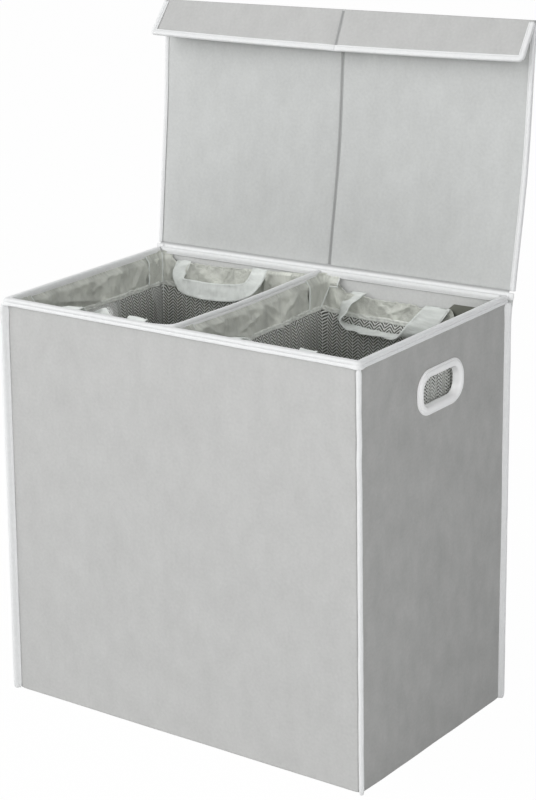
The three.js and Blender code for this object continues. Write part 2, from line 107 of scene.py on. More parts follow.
def add_camera():
    data = bpy.data.cameras.new("camera")
    data.sensor_width = SENSOR
    data.lens = FOCAL_PIXELS / FRAME_HEIGHT_PIXELS * SENSOR
    camera = bpy.data.objects.new("camera", data)
    bpy.context.scene.collection.objects.link(camera)
    forward = Vector((
        -math.sin(CAMERA_YAW) * math.cos(CAMERA_PITCH),
        math.cos(CAMERA_YAW) * math.cos(CAMERA_PITCH),
        -math.sin(CAMERA_PITCH),
    ))
    right = Vector((math.cos(CAMERA_YAW), math.sin(CAMERA_YAW), 0))
    up = right.cross(forward)
    across = math.cos(CAMERA_ROLL) * right + math.sin(CAMERA_ROLL) * up
    upright = math.cos(CAMERA_ROLL) * up - math.sin(CAMERA_ROLL) * right
    turn = Matrix((across, upright, -forward)).transposed().to_4x4()
    camera.matrix_world = Matrix.Translation(CAMERA_PLACE) @ turn
    bpy.context.scene.camera = camera


add_camera()


# Shaping

def soft_noise(place, octaves=2):
    """Smooth noise from about -1 to 1 at a place that is counted in its own wavelengths."""
    return noise.fractal(Vector(place), 1.0, 2.0, octaves)


def ease(value, low, high):
    """0 below low, 1 above high, and smooth between them."""
    share = min(max((value - low) / (high - low), 0), 1)
    return share * share * (3 - 2 * share)


def unit(vectors):
    """The rows of an array, each with a length of 1."""
    return vectors / np.maximum(np.linalg.norm(vectors, axis=1, keepdims=True), TINY)


def mirrored(points, axis):
    """The points in reverse order, on the other side of zero on one axis."""
    return [tuple(-v if k == axis else v for k, v in enumerate(point)) for point in points[::-1]]


def circle(radius, sides):
    angles = np.linspace(0, math.tau, sides, endpoint=False)
    return np.column_stack([np.cos(angles), np.sin(angles)]) * radius


def at_height(places, height):
    """Places of the ground plan with a height."""
    return np.column_stack([places, np.full(len(places), height)])


def curve_through(places, steps, closed=False):
    """A smooth line through the places, with that many steps between two of them."""
    places = np.array(places, float)
    count = len(places)
    line = []
    for i in range(count if closed else count - 1):
        if closed:
            a, b, c, d = (places[(i + k) % count] for k in (-1, 0, 1, 2))
        else:
            a, b, c, d = (places[min(max(i + k, 0), count - 1)] for k in (-1, 0, 1, 2))
        for step in range(steps):
            t = step / steps
            line.append(0.5 * (
                2 * b + (c - a) * t + (2 * a - 5 * b + 4 * c - d) * t ** 2
                + (3 * b - a - 3 * c + d) * t ** 3
            ))
    if not closed:
        line.append(places[-1])
    return np.array(line)


def stops(low, high, step, inserts=()):
    """Even places from low to high about a step apart, with closer ones at the ends and inserts."""
    places = set(np.linspace(low, high, max(2, round((high - low) / step) + 1)))
    near = step / 4
    for mark in (low, high, *inserts):
        places = {p for p in places if abs(p - mark) > near * 1.5}
        places |= {mark} | {p for p in (mark - near, mark + near) if low < p < high}
    return np.array(sorted(places))


def travelled(points, axis, closed):
    """Mean distance along one axis of a grid of points, from its start."""
    if closed:
        points = np.concatenate([points, np.take(points, [0], axis=axis)], axis=axis)
    steps = np.linalg.norm(np.diff(points, axis=axis), axis=2).mean(axis=1 - axis)
    return np.concatenate([[0], np.cumsum(steps)])


class Skin:
    """Points and faces, and for each face the places of its corners on the flat cloth."""

    def __init__(self, points, faces, flat):
        self.points = np.array(points, float)
        self.faces = faces
        self.flat = flat

    def placed(self, points):
        """The same cloth with its points elsewhere."""
        return Skin(points, self.faces, self.flat)

    def moved(self, matrix):
        turn = np.array(matrix.to_3x3())
        return self.placed(self.points @ turn.T + np.array(matrix.translation))

    def with_skin(self, other):
        start = len(self.points)
        faces = self.faces + [tuple(i + start for i in face) for face in other.faces]
        return Skin(np.vstack([self.points, other.points]), faces, self.flat + other.flat)

    def normals(self):
        found = np.zeros_like(self.points)
        for face in self.faces:
            a, b, c = (self.points[face[i]] for i in (0, 1, 2))
            cross = np.cross(b - a, c - a)
            if len(face) > 3:
                cross = cross + np.cross(c - a, self.points[face[3]] - a)
            for i in face:
                found[i] += cross
        return unit(found)

    def volume(self):
        total = 0
        for face in self.faces:
            corner = self.points[face[0]]
            for i in range(1, len(face) - 1):
                total += corner @ np.cross(self.points[face[i]], self.points[face[i + 1]])
        return total / 6


def grid(points, close_rows=False, close_columns=False, keep=None):
    """A skin over rows and columns of points. keep(row, column) says which cells it has."""
    points = np.array(points, float)
    rows, columns = points.shape[:2]
    across = travelled(points, 1, close_columns)
    down = travelled(points, 0, close_rows)
    faces = []
    flat = []
    for row in range(rows if close_rows else rows - 1):
        for column in range(columns if close_columns else columns - 1):
            if keep and not keep(row, column):
                continue
            below = (row + 1) % rows
            after = (column + 1) % columns
            faces.append((
                row * columns + column, row * columns + after,
                below * columns + after, below * columns + column,
            ))
            flat.append((
                (across[column], down[row]), (across[column + 1], down[row]),
                (across[column + 1], down[row + 1]), (across[column], down[row + 1]),
            ))
    return Skin(points.reshape(-1, 3), faces, flat)


def thick(skin, thickness, rim_steps=2):
    """Gives an open skin its thickness, half to each side, with a rounded rim."""
    count = len(skin.points)
    normals = skin.normals()
    half = thickness / 2
    edges = {}
    for face, flat in zip(skin.faces, skin.flat):
        for i in range(len(face)):
            after = (i + 1) % len(face)
            edges[face[i], face[after]] = (flat[i], flat[after])
    rim = [(edge, flat) for edge, flat in edges.items() if edge[::-1] not in edges]
    outward = np.zeros_like(skin.points)
    for (a, b), _ in rim:
        side = np.cross(skin.points[b] - skin.points[a], normals[a] + normals[b])
        side = side / max(np.linalg.norm(side), TINY)
        outward[a] += side
        outward[b] += side
    order = sorted({i for edge, _ in rim for i in edge})
    outward[order] = unit(outward[order])
    points = [skin.points + normals * half, skin.points - normals * half]
    ring_of = [{i: i for i in order}]
    for step in range(1, rim_steps):
        angle = math.pi * step / rim_steps
        start = count * 2 + len(order) * (step - 1)
        ring_of.append({i: start + n for n, i in enumerate(order)})
        points.append(
            skin.points[order] + half * (
                math.sin(angle) * outward[order] + math.cos(angle) * normals[order]
            )
        )
    ring_of.append({i: count + i for i in order})
    faces = list(skin.faces) + [tuple(count + i for i in face[::-1]) for face in skin.faces]
    flat = list(skin.flat) + [corners[::-1] for corners in skin.flat]
    for (a, b), (flat_a, flat_b) in rim:
        for near, far in zip(ring_of, ring_of[1:]):
            faces.append((near[b], near[a], far[a], far[b]))
            flat.append((flat_b, flat_a, flat_a, flat_b))
    return Skin(np.vstack(points), faces, flat)


def tube(rings, closed=False):
    """Rings of points joined in a row, with its two ends filled in unless the row closes."""
    rings = np.array(rings, float)
    skin = grid(rings, close_rows=closed, close_columns=True)
    if closed:
        return skin
    rows, columns = rings.shape[:2]
    for row, turn in ((0, -1), (rows - 1, 1)):
        middle = len(skin.points)
        skin.points = np.vstack([skin.points, rings[row].mean(axis=0)])
        for column in range(columns):
            here = row * columns + column
            after = row * columns + (column + 1) % columns
            skin.faces.append((here, after, middle)[::turn])
            skin.flat.append(((0, 0), (MM, 0), (0, MM)))
    return skin


def sweep(origins, outs, ups, profile, closed=False):
    """Carries a closed profile of (out, up) pairs along the origins. The profile and the two
    directions are one for all or one for each origin."""
    parts = (origins, outs, ups, profile)
    origins, outs, ups, profile = (np.array(part, float) for part in parts)
    outs, ups = (np.broadcast_to(part, origins.shape)[:, None] for part in (outs, ups))
    return tube(origins[:, None] + profile[..., :1] * outs + profile[..., 1:] * ups, closed)


STITCH_PITCH = 3.3 * MM
STITCH_LENGTH = 2.5 * MM
STITCH_WIDTH = 0.6 * MM
STITCH_RISE = 0.35 * MM
STITCH_BODY_SHARES = (0.22, 0.78)
STITCH_SIDES = 4


def stitch_row(line, normals):
    """Stitches on a line of points: small closed beads, each a pitch from the last."""
    line = np.array(line, float)
    normals = np.broadcast_to(np.array(normals, float), line.shape)
    distance = np.concatenate([[0], np.cumsum(np.linalg.norm(np.diff(line, axis=0), axis=1))])
    count = int(distance[-1] / STITCH_PITCH)
    starts = (np.arange(count) + 0.5) * STITCH_PITCH - STITCH_LENGTH / 2

    def at(values, where):
        return np.stack([np.interp(where, distance, values[:, k]) for k in range(3)], axis=1)

    begin = at(line, starts)
    end = at(line, starts + STITCH_LENGTH)
    normal = unit(at(normals, starts + STITCH_LENGTH / 2))
    along = end - begin
    side = unit(np.cross(along, normal)) * (STITCH_WIDTH / 2)
    rise = normal * STITCH_RISE
    points = []
    faces = []
    flat = []
    for i in range(count):
        base = len(points)
        points.append(begin[i])
        for share in STITCH_BODY_SHARES:
            centre = begin[i] + along[i] * share
            points += [centre + side[i], centre + rise[i], centre - side[i], centre - rise[i]]
        points.append(end[i])
        near = base + 1
        far = near + STITCH_SIDES
        tip = far + STITCH_SIDES
        for k in range(STITCH_SIDES):
            after = (k + 1) % STITCH_SIDES
            faces.append((base, near + after, near + k))
            faces.append((near + k, near + after, far + after, far + k))
            faces.append((far + k, far + after, tip))
        low = starts[i]
        high = low + STITCH_LENGTH
        point = ((low, 0), (low, STITCH_WIDTH), (high, 0))
        body = ((low, 0), (low, STITCH_WIDTH), (high, STITCH_WIDTH), (high, 0))
        flat += [point, body, point] * STITCH_SIDES
    return Skin(points, faces, flat)


def stitched(runs):
    """Rows of stitches in one skin. Each run is a line of points and the way that it faces."""
    rows = stitch_row(*runs[0])
    for run in runs[1:]:
        rows = rows.with_skin(stitch_row(*run))
    return rows


def piece(name, skin, material, closed=True):
    """Makes the Blender object of a skin, its faces turned outwards if it is closed."""
    faces = skin.faces
    flat = skin.flat
    if closed and skin.volume() < 0:
        faces = [face[::-1] for face in faces]
        flat = [corners[::-1] for corners in flat]
    mesh = bpy.data.meshes.new(name)
    mesh.from_pydata(skin.points.tolist(), [], faces)
    layer = mesh.uv_layers.new(name="cloth")
    layer.data.foreach_set("uv", [value for corners in flat for uv in corners for value in uv])
    mesh.polygons.foreach_set("use_smooth", [True] * len(faces))
    mesh.materials.append(material)
    made = bpy.data.objects.new(name, mesh)
    bpy.context.scene.collection.objects.link(made)
    return made


def dress(made, body, slot, *nodes):
    """Lets a finished piece move with a body and stand for CAD nodes, which it hides; slot is not used.
    """
    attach(made, body)
    if nodes:
        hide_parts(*nodes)
    return made


# The box has settled a little out of square: how far each corner has moved to the right, to the
# back and up, in mm
SETTLED_CORNERS = (
    ((0, 0, 0), (-11, 0, 0)), ((1, 0, 0), (-3, -2, 0)), ((1, 1, 0), (4, 2, 0)),
    ((0, 1, 0), (-11, 0, 0)), ((0, 0, 1), (4, 0, -1)), ((1, 0, 1), (-6, -0.6, -5.7)),
    ((1, 1, 1), (5, 0, 4.6)), ((0, 1, 1), (0, 0, 4.6)),
)


def settled(skin):
    """The skin with the box's settling added: every place moves as the corners round it do."""
    low = np.array((-HALF_WIDTH, -HALF_DEPTH, 0))
    high = np.array((HALF_WIDTH, HALF_DEPTH, RIM_TOP))
    shares = (skin.points - low) / (high - low)
    moved = skin.points.copy()
    for corner, shift in SETTLED_CORNERS:
        weight = np.prod(np.where(corner, shares, 1 - shares), axis=1)
        moved += weight[:, None] * np.array(shift) * MM
    return skin.placed(moved)


def box_piece(name, skin, material, slot, *nodes, closed=True):
    """A piece of the settled box."""
    return dress(piece(name, settled(skin), material, closed), "box", slot, *nodes)


# Materials

class Nodes:
    """Adds nodes to a material, with its shader and the place on the flat cloth at hand."""

    def __init__(self, name):
        self.material = bpy.data.materials.new(name)
        self.material.use_nodes = True
        self.tree = self.material.node_tree
        self.shader = self.tree.nodes["Principled BSDF"]
        self.cloth = self.add("ShaderNodeUVMap", uv_map="cloth").outputs["UV"]
        axes = self.add("ShaderNodeSeparateXYZ", {"Vector": self.cloth}).outputs
        self.across, self.down = axes[0], axes[1]

    def add(self, kind, inputs=None, **settings):
        made = self.tree.nodes.new(kind)
        for name, value in settings.items():
            setattr(made, name, value)
        for name, value in (inputs or {}).items():
            self.put(value, made.inputs[name])
        return made

    def put(self, value, socket):
        if isinstance(value, bpy.types.NodeSocket):
            self.tree.links.new(value, socket)
        else:
            socket.default_value = value

    def maths(self, operation, value, *others):
        """An operation on one value, or on more of them from the left to the right."""
        for inputs in [{1: other} for other in others] or [{}]:
            value = self.add("ShaderNodeMath", {0: value, **inputs}, operation=operation).outputs[0]
        return value

    def speckle(self, per_metre, detail=2, stretch=(1, 1, 1)):
        """Noise with that many cells a metre, longer along an axis with a smaller stretch."""
        place = self.add("ShaderNodeMapping", {"Vector": self.cloth, "Scale": stretch})
        inputs = {"Vector": place.outputs[0], "Scale": per_metre, "Detail": detail}
        return self.add("ShaderNodeTexNoise", inputs).outputs["Fac"]

    def ribs(self, per_metre, angle):
        """A wave from -1 to 1 across the cloth, that many to a metre."""
        x = self.maths("MULTIPLY", self.across, math.cos(angle) * per_metre * math.tau)
        y = self.maths("MULTIPLY", self.down, math.sin(angle) * per_metre * math.tau)
        return self.maths("SINE", self.maths("ADD", x, y))

    def blended(self, factor, low, high, start=0, end=1):
        """The factor from start to end turned into a number from low to high."""
        inputs = {
            "Value": factor, "From Min": start, "From Max": end, "To Min": low, "To Max": high,
        }
        return self.add("ShaderNodeMapRange", inputs).outputs[0]

    def tinted(self, colour, brightness):
        """A colour times a brightness from nodes."""
        inputs = {0: colour, "Scale": brightness}
        return self.add("ShaderNodeVectorMath", inputs, operation="SCALE").outputs[0]

    def bump(self, height, distance, strength=1.0):
        inputs = {"Height": height, "Distance": distance, "Strength": strength}
        self.put(self.add("ShaderNodeBump", inputs).outputs[0], self.shader.inputs["Normal"])

    def shade(self, **values):
        """Sets the shader's sockets, named in lower case with _ for a space."""
        named = {socket.name.lower().replace(" ", "_"): socket for socket in self.shader.inputs}
        for name, value in values.items():
            self.put(value, named[name])


PANEL_GREY = (0.54, 0.54, 0.53)
LID_GREY = (0.6, 0.61, 0.6)
# Painted shade: the side panels' cloth is a darker copy of the panel grey, for the sides turned from the
# light
SIDE_SHADED_GREY = (0.44, 0.44, 0.43)
# Painted light: the back panel's cloth is a lighter copy of the panel grey, so that its shaded inner face
# comes out light
BACK_LIT_GREY = (0.68, 0.685, 0.675)
# Painted shade: the seam cloth between the lid's and the flap's boards is darker for the shade in its
# groove
LID_SEAM_SHADE_GREY = (0.42, 0.425, 0.42)
# Painted shade: the grey of the dark sheets put inside the bins
SHADE_SHEET_GREY = (0.15, 0.155, 0.13)
TAPE_WHITE = (0.86, 0.865, 0.865)
THREAD_WHITE = (0.78, 0.79, 0.79)
PLASTIC_WHITE = (0.9, 0.9, 0.9)
SATIN_GREEN = (0.68, 0.695, 0.635)
SEAM_GREEN = (0.75, 0.765, 0.72)
NET_GREY = (0.71, 0.72, 0.69)
STRAP_MINT = (0.78, 0.81, 0.78)
HINGE_GREY = (0.84, 0.845, 0.845)
BOARD_GREY = (0.43, 0.435, 0.42)

# How far each surface's fine relief stands up
FIBRE_RISE = 0.12 * MM
RIB_RISE = 0.07 * MM
TWIST_RISE = 0.08 * MM
GRAIN_RISE = 0.03 * MM
SATIN_RISE = 1.4 * MM
GATHER_RISE = 1.2 * MM
KNIT_RISE = 0.3 * MM
WEBBING_RISE = 0.6 * MM

def felted_cloth(name, colour, blotch_and_fold_shade=0.035):
    """Bonded cloth: short crossing fibres, small pressed dots and soft mottling."""
    n = Nodes(name)
    fibres = n.maths("ADD", n.speckle(1500, 2, (1, 0.25, 1)), n.speckle(1500, 2, (0.25, 1, 1)))
    dots = n.maths("MULTIPLY", n.ribs(520, math.radians(35)), n.ribs(520, math.radians(125)))
    pressed = n.maths("MAXIMUM", n.maths("SUBTRACT", dots, 0.45), 0)
    mottle = n.speckle(230, 3)
    cloud = n.speckle(14, 2)
    patch = n.speckle(45, 3, (1, 0.55, 1))
    # The cloud and patch blotches are the cloth's own mottling; where they are made stronger, as on the
    # side panels, they also paint the shade of soft folds
    bright = n.maths(
        "ADD", n.blended(mottle, 0.88, 1.06), n.blended(cloud, -blotch_and_fold_shade, blotch_and_fold_shade),
        n.blended(patch, -1.6 * blotch_and_fold_shade, 1.6 * blotch_and_fold_shade),
        n.blended(n.maths("MULTIPLY", fibres, 0.5), -0.05, 0.05),
    )
    bright = n.maths("SUBTRACT", bright, n.maths("MULTIPLY", pressed, 0.07))
    height = n.maths("SUBTRACT", n.maths("MULTIPLY", fibres, 0.6), pressed)
    n.bump(height, FIBRE_RISE, 0.7)
    n.shade(
        base_color=n.tinted(colour, bright),
        roughness=n.blended(fibres, 0.68, 0.86),
        specular_ior_level=0.35,
        sheen_weight=0.12,
        sheen_roughness=0.5,
    )
    return n.material


TAPE_RIBS = 1150
HINGE_RIBS = 700


def ribbed_tape(name, colour):
    """Folded woven tape with fine ribs across it."""
    n = Nodes(name)
    rib = n.ribs(TAPE_RIBS, 0)
    twill = n.ribs(TAPE_RIBS * 0.6, math.radians(62))
    wear = n.speckle(160, 3)
    bright = n.maths("ADD", n.blended(wear, 0.93, 1.05), n.maths("MULTIPLY", rib, 0.025))
    height = n.maths("ADD", rib, n.maths("MULTIPLY", twill, 0.4))
    n.bump(height, RIB_RISE, 0.8)
    n.shade(
        base_color=n.tinted(colour, bright),
        roughness=n.blended(wear, 0.62, 0.78),
        specular_ior_level=0.35,
        sheen_weight=0.15,
    )
    return n.material


# Where painted shade darkens the hinge strip towards the lid's foot, as distances up from its lower edge
HINGE_SHADE_START = 18.5 * MM
HINGE_SHADE_END = 22.5 * MM
HINGE_SHADE = 0.45


def hinge_tape(name, colour):
    """Woven tape with painted shade that darkens it into the crease at the foot of the lid."""
    n = Nodes(name)
    wear = n.speckle(160, 3)
    shade = n.blended(n.down, 1, HINGE_SHADE, HINGE_SHADE_START, HINGE_SHADE_END)
    n.bump(n.ribs(HINGE_RIBS, 0), RIB_RISE, 0.8)
    n.shade(
        base_color=n.tinted(colour, n.maths("MULTIPLY", n.blended(wear, 0.93, 1.05), shade)),
        roughness=n.blended(wear, 0.62, 0.78),
        sheen_weight=0.15,
    )
    return n.material


def thread(name, colour):
    n = Nodes(name)
    twist = n.ribs(1800, math.radians(50))
    n.bump(twist, TWIST_RISE)
    n.shade(
        base_color=n.tinted(colour, n.blended(twist, 0.95, 1.03)),
        roughness=n.blended(twist, 0.5, 0.62),
    )
    return n.material


def moulded_plastic(name, colour):
    """Satin moulded plastic with a fine grain."""
    n = Nodes(name)
    grain = n.speckle(900, 2)
    flow = n.speckle(35, 1)
    n.bump(grain, GRAIN_RISE, 0.5)
    n.shade(
        base_color=n.tinted(colour, n.blended(flow, 0.98, 1.02)),
        roughness=n.blended(grain, 0.27, 0.38),
        specular_ior_level=0.5,
    )
    return n.material


GATHER_REACH = 13 * MM
GATHERS_PER_METRE = 230


def satin_lining(name, colour):
    """Thin lining cloth: a tight weave with a dull shine and small creases, and painted light and shade
    on its facets, creases and hem puckers.
    """
    n = Nodes(name)
    weave = n.maths("MULTIPLY", n.ribs(1500, 0), n.ribs(1500, math.radians(90)))
    crease = n.speckle(70, 4, (1, 0.6, 1))
    cloud = n.speckle(24, 2)
    facet = n.speckle(28, 1, (1, 0.5, 1))
    gathers = n.speckle(GATHERS_PER_METRE, 1, (1, 0.12, 1))
    near_hem = n.blended(n.down, 1, 0, 0, GATHER_REACH)
    ruffle = n.maths("MULTIPLY", n.maths("SUBTRACT", gathers, 0.5), near_hem)
    height = n.maths(
        "ADD", n.maths("MULTIPLY", weave, 0.06), n.maths("MULTIPLY", crease, 5),
        n.maths("MULTIPLY", ruffle, 2.5), n.maths("MULTIPLY", facet, 9),
    )
    n.bump(height, SATIN_RISE)
    # Painted light and shade: the facets, creases and hem puckers of the bump are also lighter and darker
    # in colour
    bright = n.maths(
        "ADD", n.blended(cloud, 0.9, 1.08), n.blended(crease, -0.12, 0.12),
        n.maths("MULTIPLY", ruffle, 0.9), n.blended(facet, -0.55, 0.55),
    )
    n.shade(
        base_color=n.tinted(colour, bright),
        roughness=n.blended(crease, 0.36, 0.52),
        specular_ior_level=0.5,
        sheen_weight=0.2,
        sheen_roughness=0.35,
    )
    return n.material


def gathered_cloth(name, colour):
    """A seam drawn up with thread: many small puckers across it, with painted light and shade on them."""
    n = Nodes(name)
    pucker = n.speckle(310, 2, (1, 0.4, 1))
    n.bump(pucker, GATHER_RISE, 0.8)
    # Painted light and shade: each pucker of the bump is also lighter or darker in colour
    n.shade(
        base_color=n.tinted(colour, n.blended(pucker, 0.45, 1.45)),
        roughness=n.blended(pucker, 0.5, 0.7),
        sheen_weight=0.15,
    )
    return n.material


NET_COLUMN = 8 * MM
NET_JOIN = 0.3 * MM
NET_THREADS_PER_METRE = 210
NET_HOLE_LEVEL = -0.05


def open_net(name, colour):
    """Knitted net: slanting threads that turn back at each column, with holes really open."""
    n = Nodes(name)
    column = n.maths("PINGPONG", n.across, NET_COLUMN)
    slant = n.maths("MULTIPLY", n.maths("ADD", n.down, column), NET_THREADS_PER_METRE * math.tau)
    gap = n.maths("SINE", slant)
    hole = n.maths(
        "MULTIPLY", n.maths("GREATER_THAN", column, NET_JOIN),
        n.maths("LESS_THAN", column, NET_COLUMN - NET_JOIN),
        n.maths("GREATER_THAN", gap, NET_HOLE_LEVEL),
    )
    knit = n.speckle(1600, 1)
    n.bump(n.maths("ADD", n.maths("MULTIPLY", gap, -0.6), knit), KNIT_RISE, 0.8)
    n.shade(
        base_color=n.tinted(colour, n.blended(knit, 0.7, 1.25)),
        roughness=n.blended(knit, 0.5, 0.75),
        alpha=n.maths("SUBTRACT", 1.0, hole),
    )
    return n.material


def soft_webbing(name, colour):
    """Thin cotton strap: crossing threads and small creases, with painted light and shade on the creases.
    """
    n = Nodes(name)
    weave = n.maths("MULTIPLY", n.ribs(1100, math.radians(45)), n.ribs(1100, math.radians(135)))
    crease = n.speckle(110, 3, (0.5, 1, 1))
    height = n.maths("ADD", n.maths("MULTIPLY", weave, 0.1), n.maths("MULTIPLY", crease, 4))
    n.bump(height, WEBBING_RISE, 0.6)
    # Painted light and shade: the creases of the bump are also lighter and darker in colour
    n.shade(
        base_color=n.tinted(colour, n.blended(crease, 0.76, 1.16)),
        roughness=n.blended(crease, 0.62, 0.8),
        sheen_weight=0.15,
    )
    return n.material


PANEL_CLOTH = felted_cloth("panel_cloth", PANEL_GREY, 0.045)
LID_CLOTH = felted_cloth("lid_cloth", LID_GREY, 0.045)
# Painted shade in the groove of the lid's and the flap's centre seams
LID_SEAM = felted_cloth("lid_seam", LID_SEAM_SHADE_GREY)
# Painted shade: the side panels' darker cloth, whose stronger blotches are partly painted shade of soft
# folds
SIDE_SHADED_CLOTH = felted_cloth("side_cloth", SIDE_SHADED_GREY, 0.085)
# Painted light: the back panel's lighter cloth, inside and out
BACK_LIT_CLOTH = felted_cloth("back_cloth", BACK_LIT_GREY)
# Painted shade: the dark sheets inside the bins
SHADE_SHEET_CLOTH = felted_cloth("lining_cloth", SHADE_SHEET_GREY)
BOARD_CLOTH = felted_cloth("board_cloth", BOARD_GREY)
WHITE_TAPE = ribbed_tape("white_tape", TAPE_WHITE)
HINGE_CLOTH = hinge_tape("hinge_cloth", HINGE_GREY)
WHITE_THREAD = thread("white_thread", THREAD_WHITE)
WHITE_PLASTIC = moulded_plastic("white_plastic", PLASTIC_WHITE)
SATIN = satin_lining("satin", SATIN_GREEN)
SEAM_SATIN = gathered_cloth("seam_satin", SEAM_GREEN)
NET = open_net("net", NET_GREY)
STRAP_CLOTH = soft_webbing("strap_cloth", STRAP_MINT)
STRAP_THREAD = thread("strap_thread", STRAP_MINT)


# Boards covered with cloth

EDGE_FALL = 0.6 * MM
EDGE_RUN = 5 * MM
BOARD_STEP = 8 * MM
DIVIDER_STEP = 12 * MM
BASE_STEP = 16 * MM
BOTTOM_STEP = 20 * MM
BOARD_RIM_STEPS = 6
SWELL_LENGTH = 150 * MM
SWELL_HEIGHT = 220 * MM
RIPPLE_LENGTH = 45 * MM
RIPPLE_HEIGHT = 120 * MM


def covered_board(low, high, normal, relief, hole=None, step=BOARD_STEP):
    """A board between two corners, thin along one axis. relief(a, b) moves its middle, and the
    cloth falls off towards the rim. hole is (low a, high a, low b, high b)."""
    low = np.array(low, float)
    high = np.array(high, float)
    a_axis, b_axis = (k for k in range(3) if k != normal)
    thickness = high[normal] - low[normal]
    inset = thickness / 2
    hole_a, hole_b = (hole[:2], hole[2:]) if hole else ((), ())
    places_a = stops(low[a_axis] + inset, high[a_axis] - inset, step, hole_a)
    places_b = stops(low[b_axis] + inset, high[b_axis] - inset, step, hole_b)
    points = np.zeros((len(places_b), len(places_a), 3))
    for row, b in enumerate(places_b):
        for column, a in enumerate(places_a):
            points[row, column, a_axis] = a
            points[row, column, b_axis] = b
            points[row, column, normal] = (low[normal] + high[normal]) / 2 + relief(a, b)

    def keep(row, column):
        if not hole:
            return True
        a = (places_a[column] + places_a[column + 1]) / 2
        b = (places_b[row] + places_b[row + 1]) / 2
        return not (hole[0] < a < hole[1] and hole[2] < b < hole[3])

    return thick(grid(points, keep=keep), thickness, BOARD_RIM_STEPS)


def cloth_relief(low_a, high_a, seed, swell, ripple, outward):
    """A relief for a board from low_a to high_a: soft waves, and a fall at its two sides."""
    def relief(a, b):
        wide = soft_noise((a / SWELL_LENGTH, b / SWELL_HEIGHT, seed))
        fine = soft_noise((a / RIPPLE_LENGTH, b / RIPPLE_HEIGHT, seed + 9))
        near = min(a - low_a, high_a - a)
        fall = EDGE_FALL * math.exp(-((max(near, 0) / EDGE_RUN) ** 2))
        return outward * (swell * wide + ripple * fine - fall)
    return relief


FRONT_SWELL = 0.7 * MM
FRONT_RIPPLE = 0.2 * MM
SIDE_SWELL = 1.3 * MM
SIDE_RIPPLE = 0.5 * MM
HOLE_HALF = (48 * MM, 23.8 * MM)
SIDE_OVERLAP = 5 * MM
FRONT_OVERLAP = 2.5 * MM


def add_walls():
    for name, normal, outward, swell, ripple in (
        ("front_panel", 1, -1, FRONT_SWELL, FRONT_RIPPLE),
        ("back_panel", 1, 1, FRONT_SWELL, FRONT_RIPPLE),
        ("left_panel", 0, -1, SIDE_SWELL, SIDE_RIPPLE),
        ("right_panel", 0, 1, SIDE_SWELL, SIDE_RIPPLE),
    ):
        low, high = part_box(name)
        low.z = PANEL_FOOT
        across = 0 if normal == 1 else 1
        seed = 3 + 7 * normal + 2 * outward
        relief = cloth_relief(low[across], high[across], seed, swell, ripple, outward)
        hole = None
        if normal == 1:
            low.x -= FRONT_OVERLAP
            high.x += FRONT_OVERLAP
        else:
            low.y -= SIDE_OVERLAP
            high.y += SIDE_OVERLAP
            hole = (
                GRIP_CENTRE[0] - HOLE_HALF[0], GRIP_CENTRE[0] + HOLE_HALF[0],
                GRIP_CENTRE[1] - HOLE_HALF[1], GRIP_CENTRE[1] + HOLE_HALF[1],
            )
        skin = covered_board(low, high, normal, relief, hole)
        # Painted shade on the side panels' darker cloth, painted light on the back panel's lighter cloth
        cloth = SIDE_SHADED_CLOTH if normal == 0 else PANEL_CLOTH if outward < 0 else BACK_LIT_CLOTH
        box_piece(f"{name}_cloth", skin, cloth, "panel_cloth", name)


# Painted shade: a near-black sheet inside each bin, behind the net and the right bin's slack band
SHADE_SHEET_TOP = 552 * MM
SHADE_SHEET_FOOT = 7 * MM
SHADE_SHEET_THICKNESS = 0.5 * MM
SHADE_SHEET_INSET = 0.45 * MM
SHADE_SHEET_STEP = 12 * MM
SHADE_SHEET_ROUND = 3 * MM
SHADE_SHEET_HOLE = (62 * MM, 36 * MM)
# The right bin's dark sheet reaches higher behind the slack end of the band, as painted shade there
SHADE_SHEET_RISE = 26 * MM
SHADE_SHEET_RISE_X = (198 * MM, 216 * MM)
SHADE_SHEET_RISE_Y = (100 * MM, 165 * MM)
DIVIDER_HALF = 2 * MM


def add_shade_sheets():
    """A dark sheet inside each bin, left off round the grip: painted shade that shows through the net's
    holes.
    """
    reach_y = HALF_DEPTH - BOARD - SHADE_SHEET_INSET
    inner = DIVIDER_HALF + SHADE_SHEET_INSET
    outer = HALF_WIDTH - BOARD - SHADE_SHEET_INSET
    half_x = (outer - inner) / 2
    count = len(stops(SHADE_SHEET_FOOT, SHADE_SHEET_TOP, 2 * SHADE_SHEET_STEP))
    for side, sign in SIDES:
        centre = sign * (outer + inner) / 2
        places, _ = rounded_loop(half_x, reach_y, SHADE_SHEET_ROUND, SHADE_SHEET_STEP)
        points = []
        for share in np.linspace(0, 1, count):
            ring = []
            for x, y in places:
                x += centre
                top = SHADE_SHEET_TOP + SHADE_SHEET_RISE * ease(x, *SHADE_SHEET_RISE_X) * ease(y, *SHADE_SHEET_RISE_Y)
                z = SHADE_SHEET_FOOT + (top - SHADE_SHEET_FOOT) * share
                ring.append((x + divider_lean(x, y), y, z))
            points.append(ring)

        hole_foot = GRIP_CENTRE[1] - SHADE_SHEET_HOLE[1]

        def keep(row, column):
            near = any(
                sign * x > half_x - SHADE_SHEET_STEP and abs(y - GRIP_CENTRE[0]) < SHADE_SHEET_HOLE[0]
                for x, y in (places[column], places[(column + 1) % len(places)])
            )
            return not (near and points[row + 1][column][2] > hole_foot)

        skin = thick(grid(points, close_columns=True, keep=keep), SHADE_SHEET_THICKNESS)
        box_piece(f"{side}_bin_lining", skin, SHADE_SHEET_CLOTH, "panel_cloth")


BASE_RIPPLE = 0.15 * MM


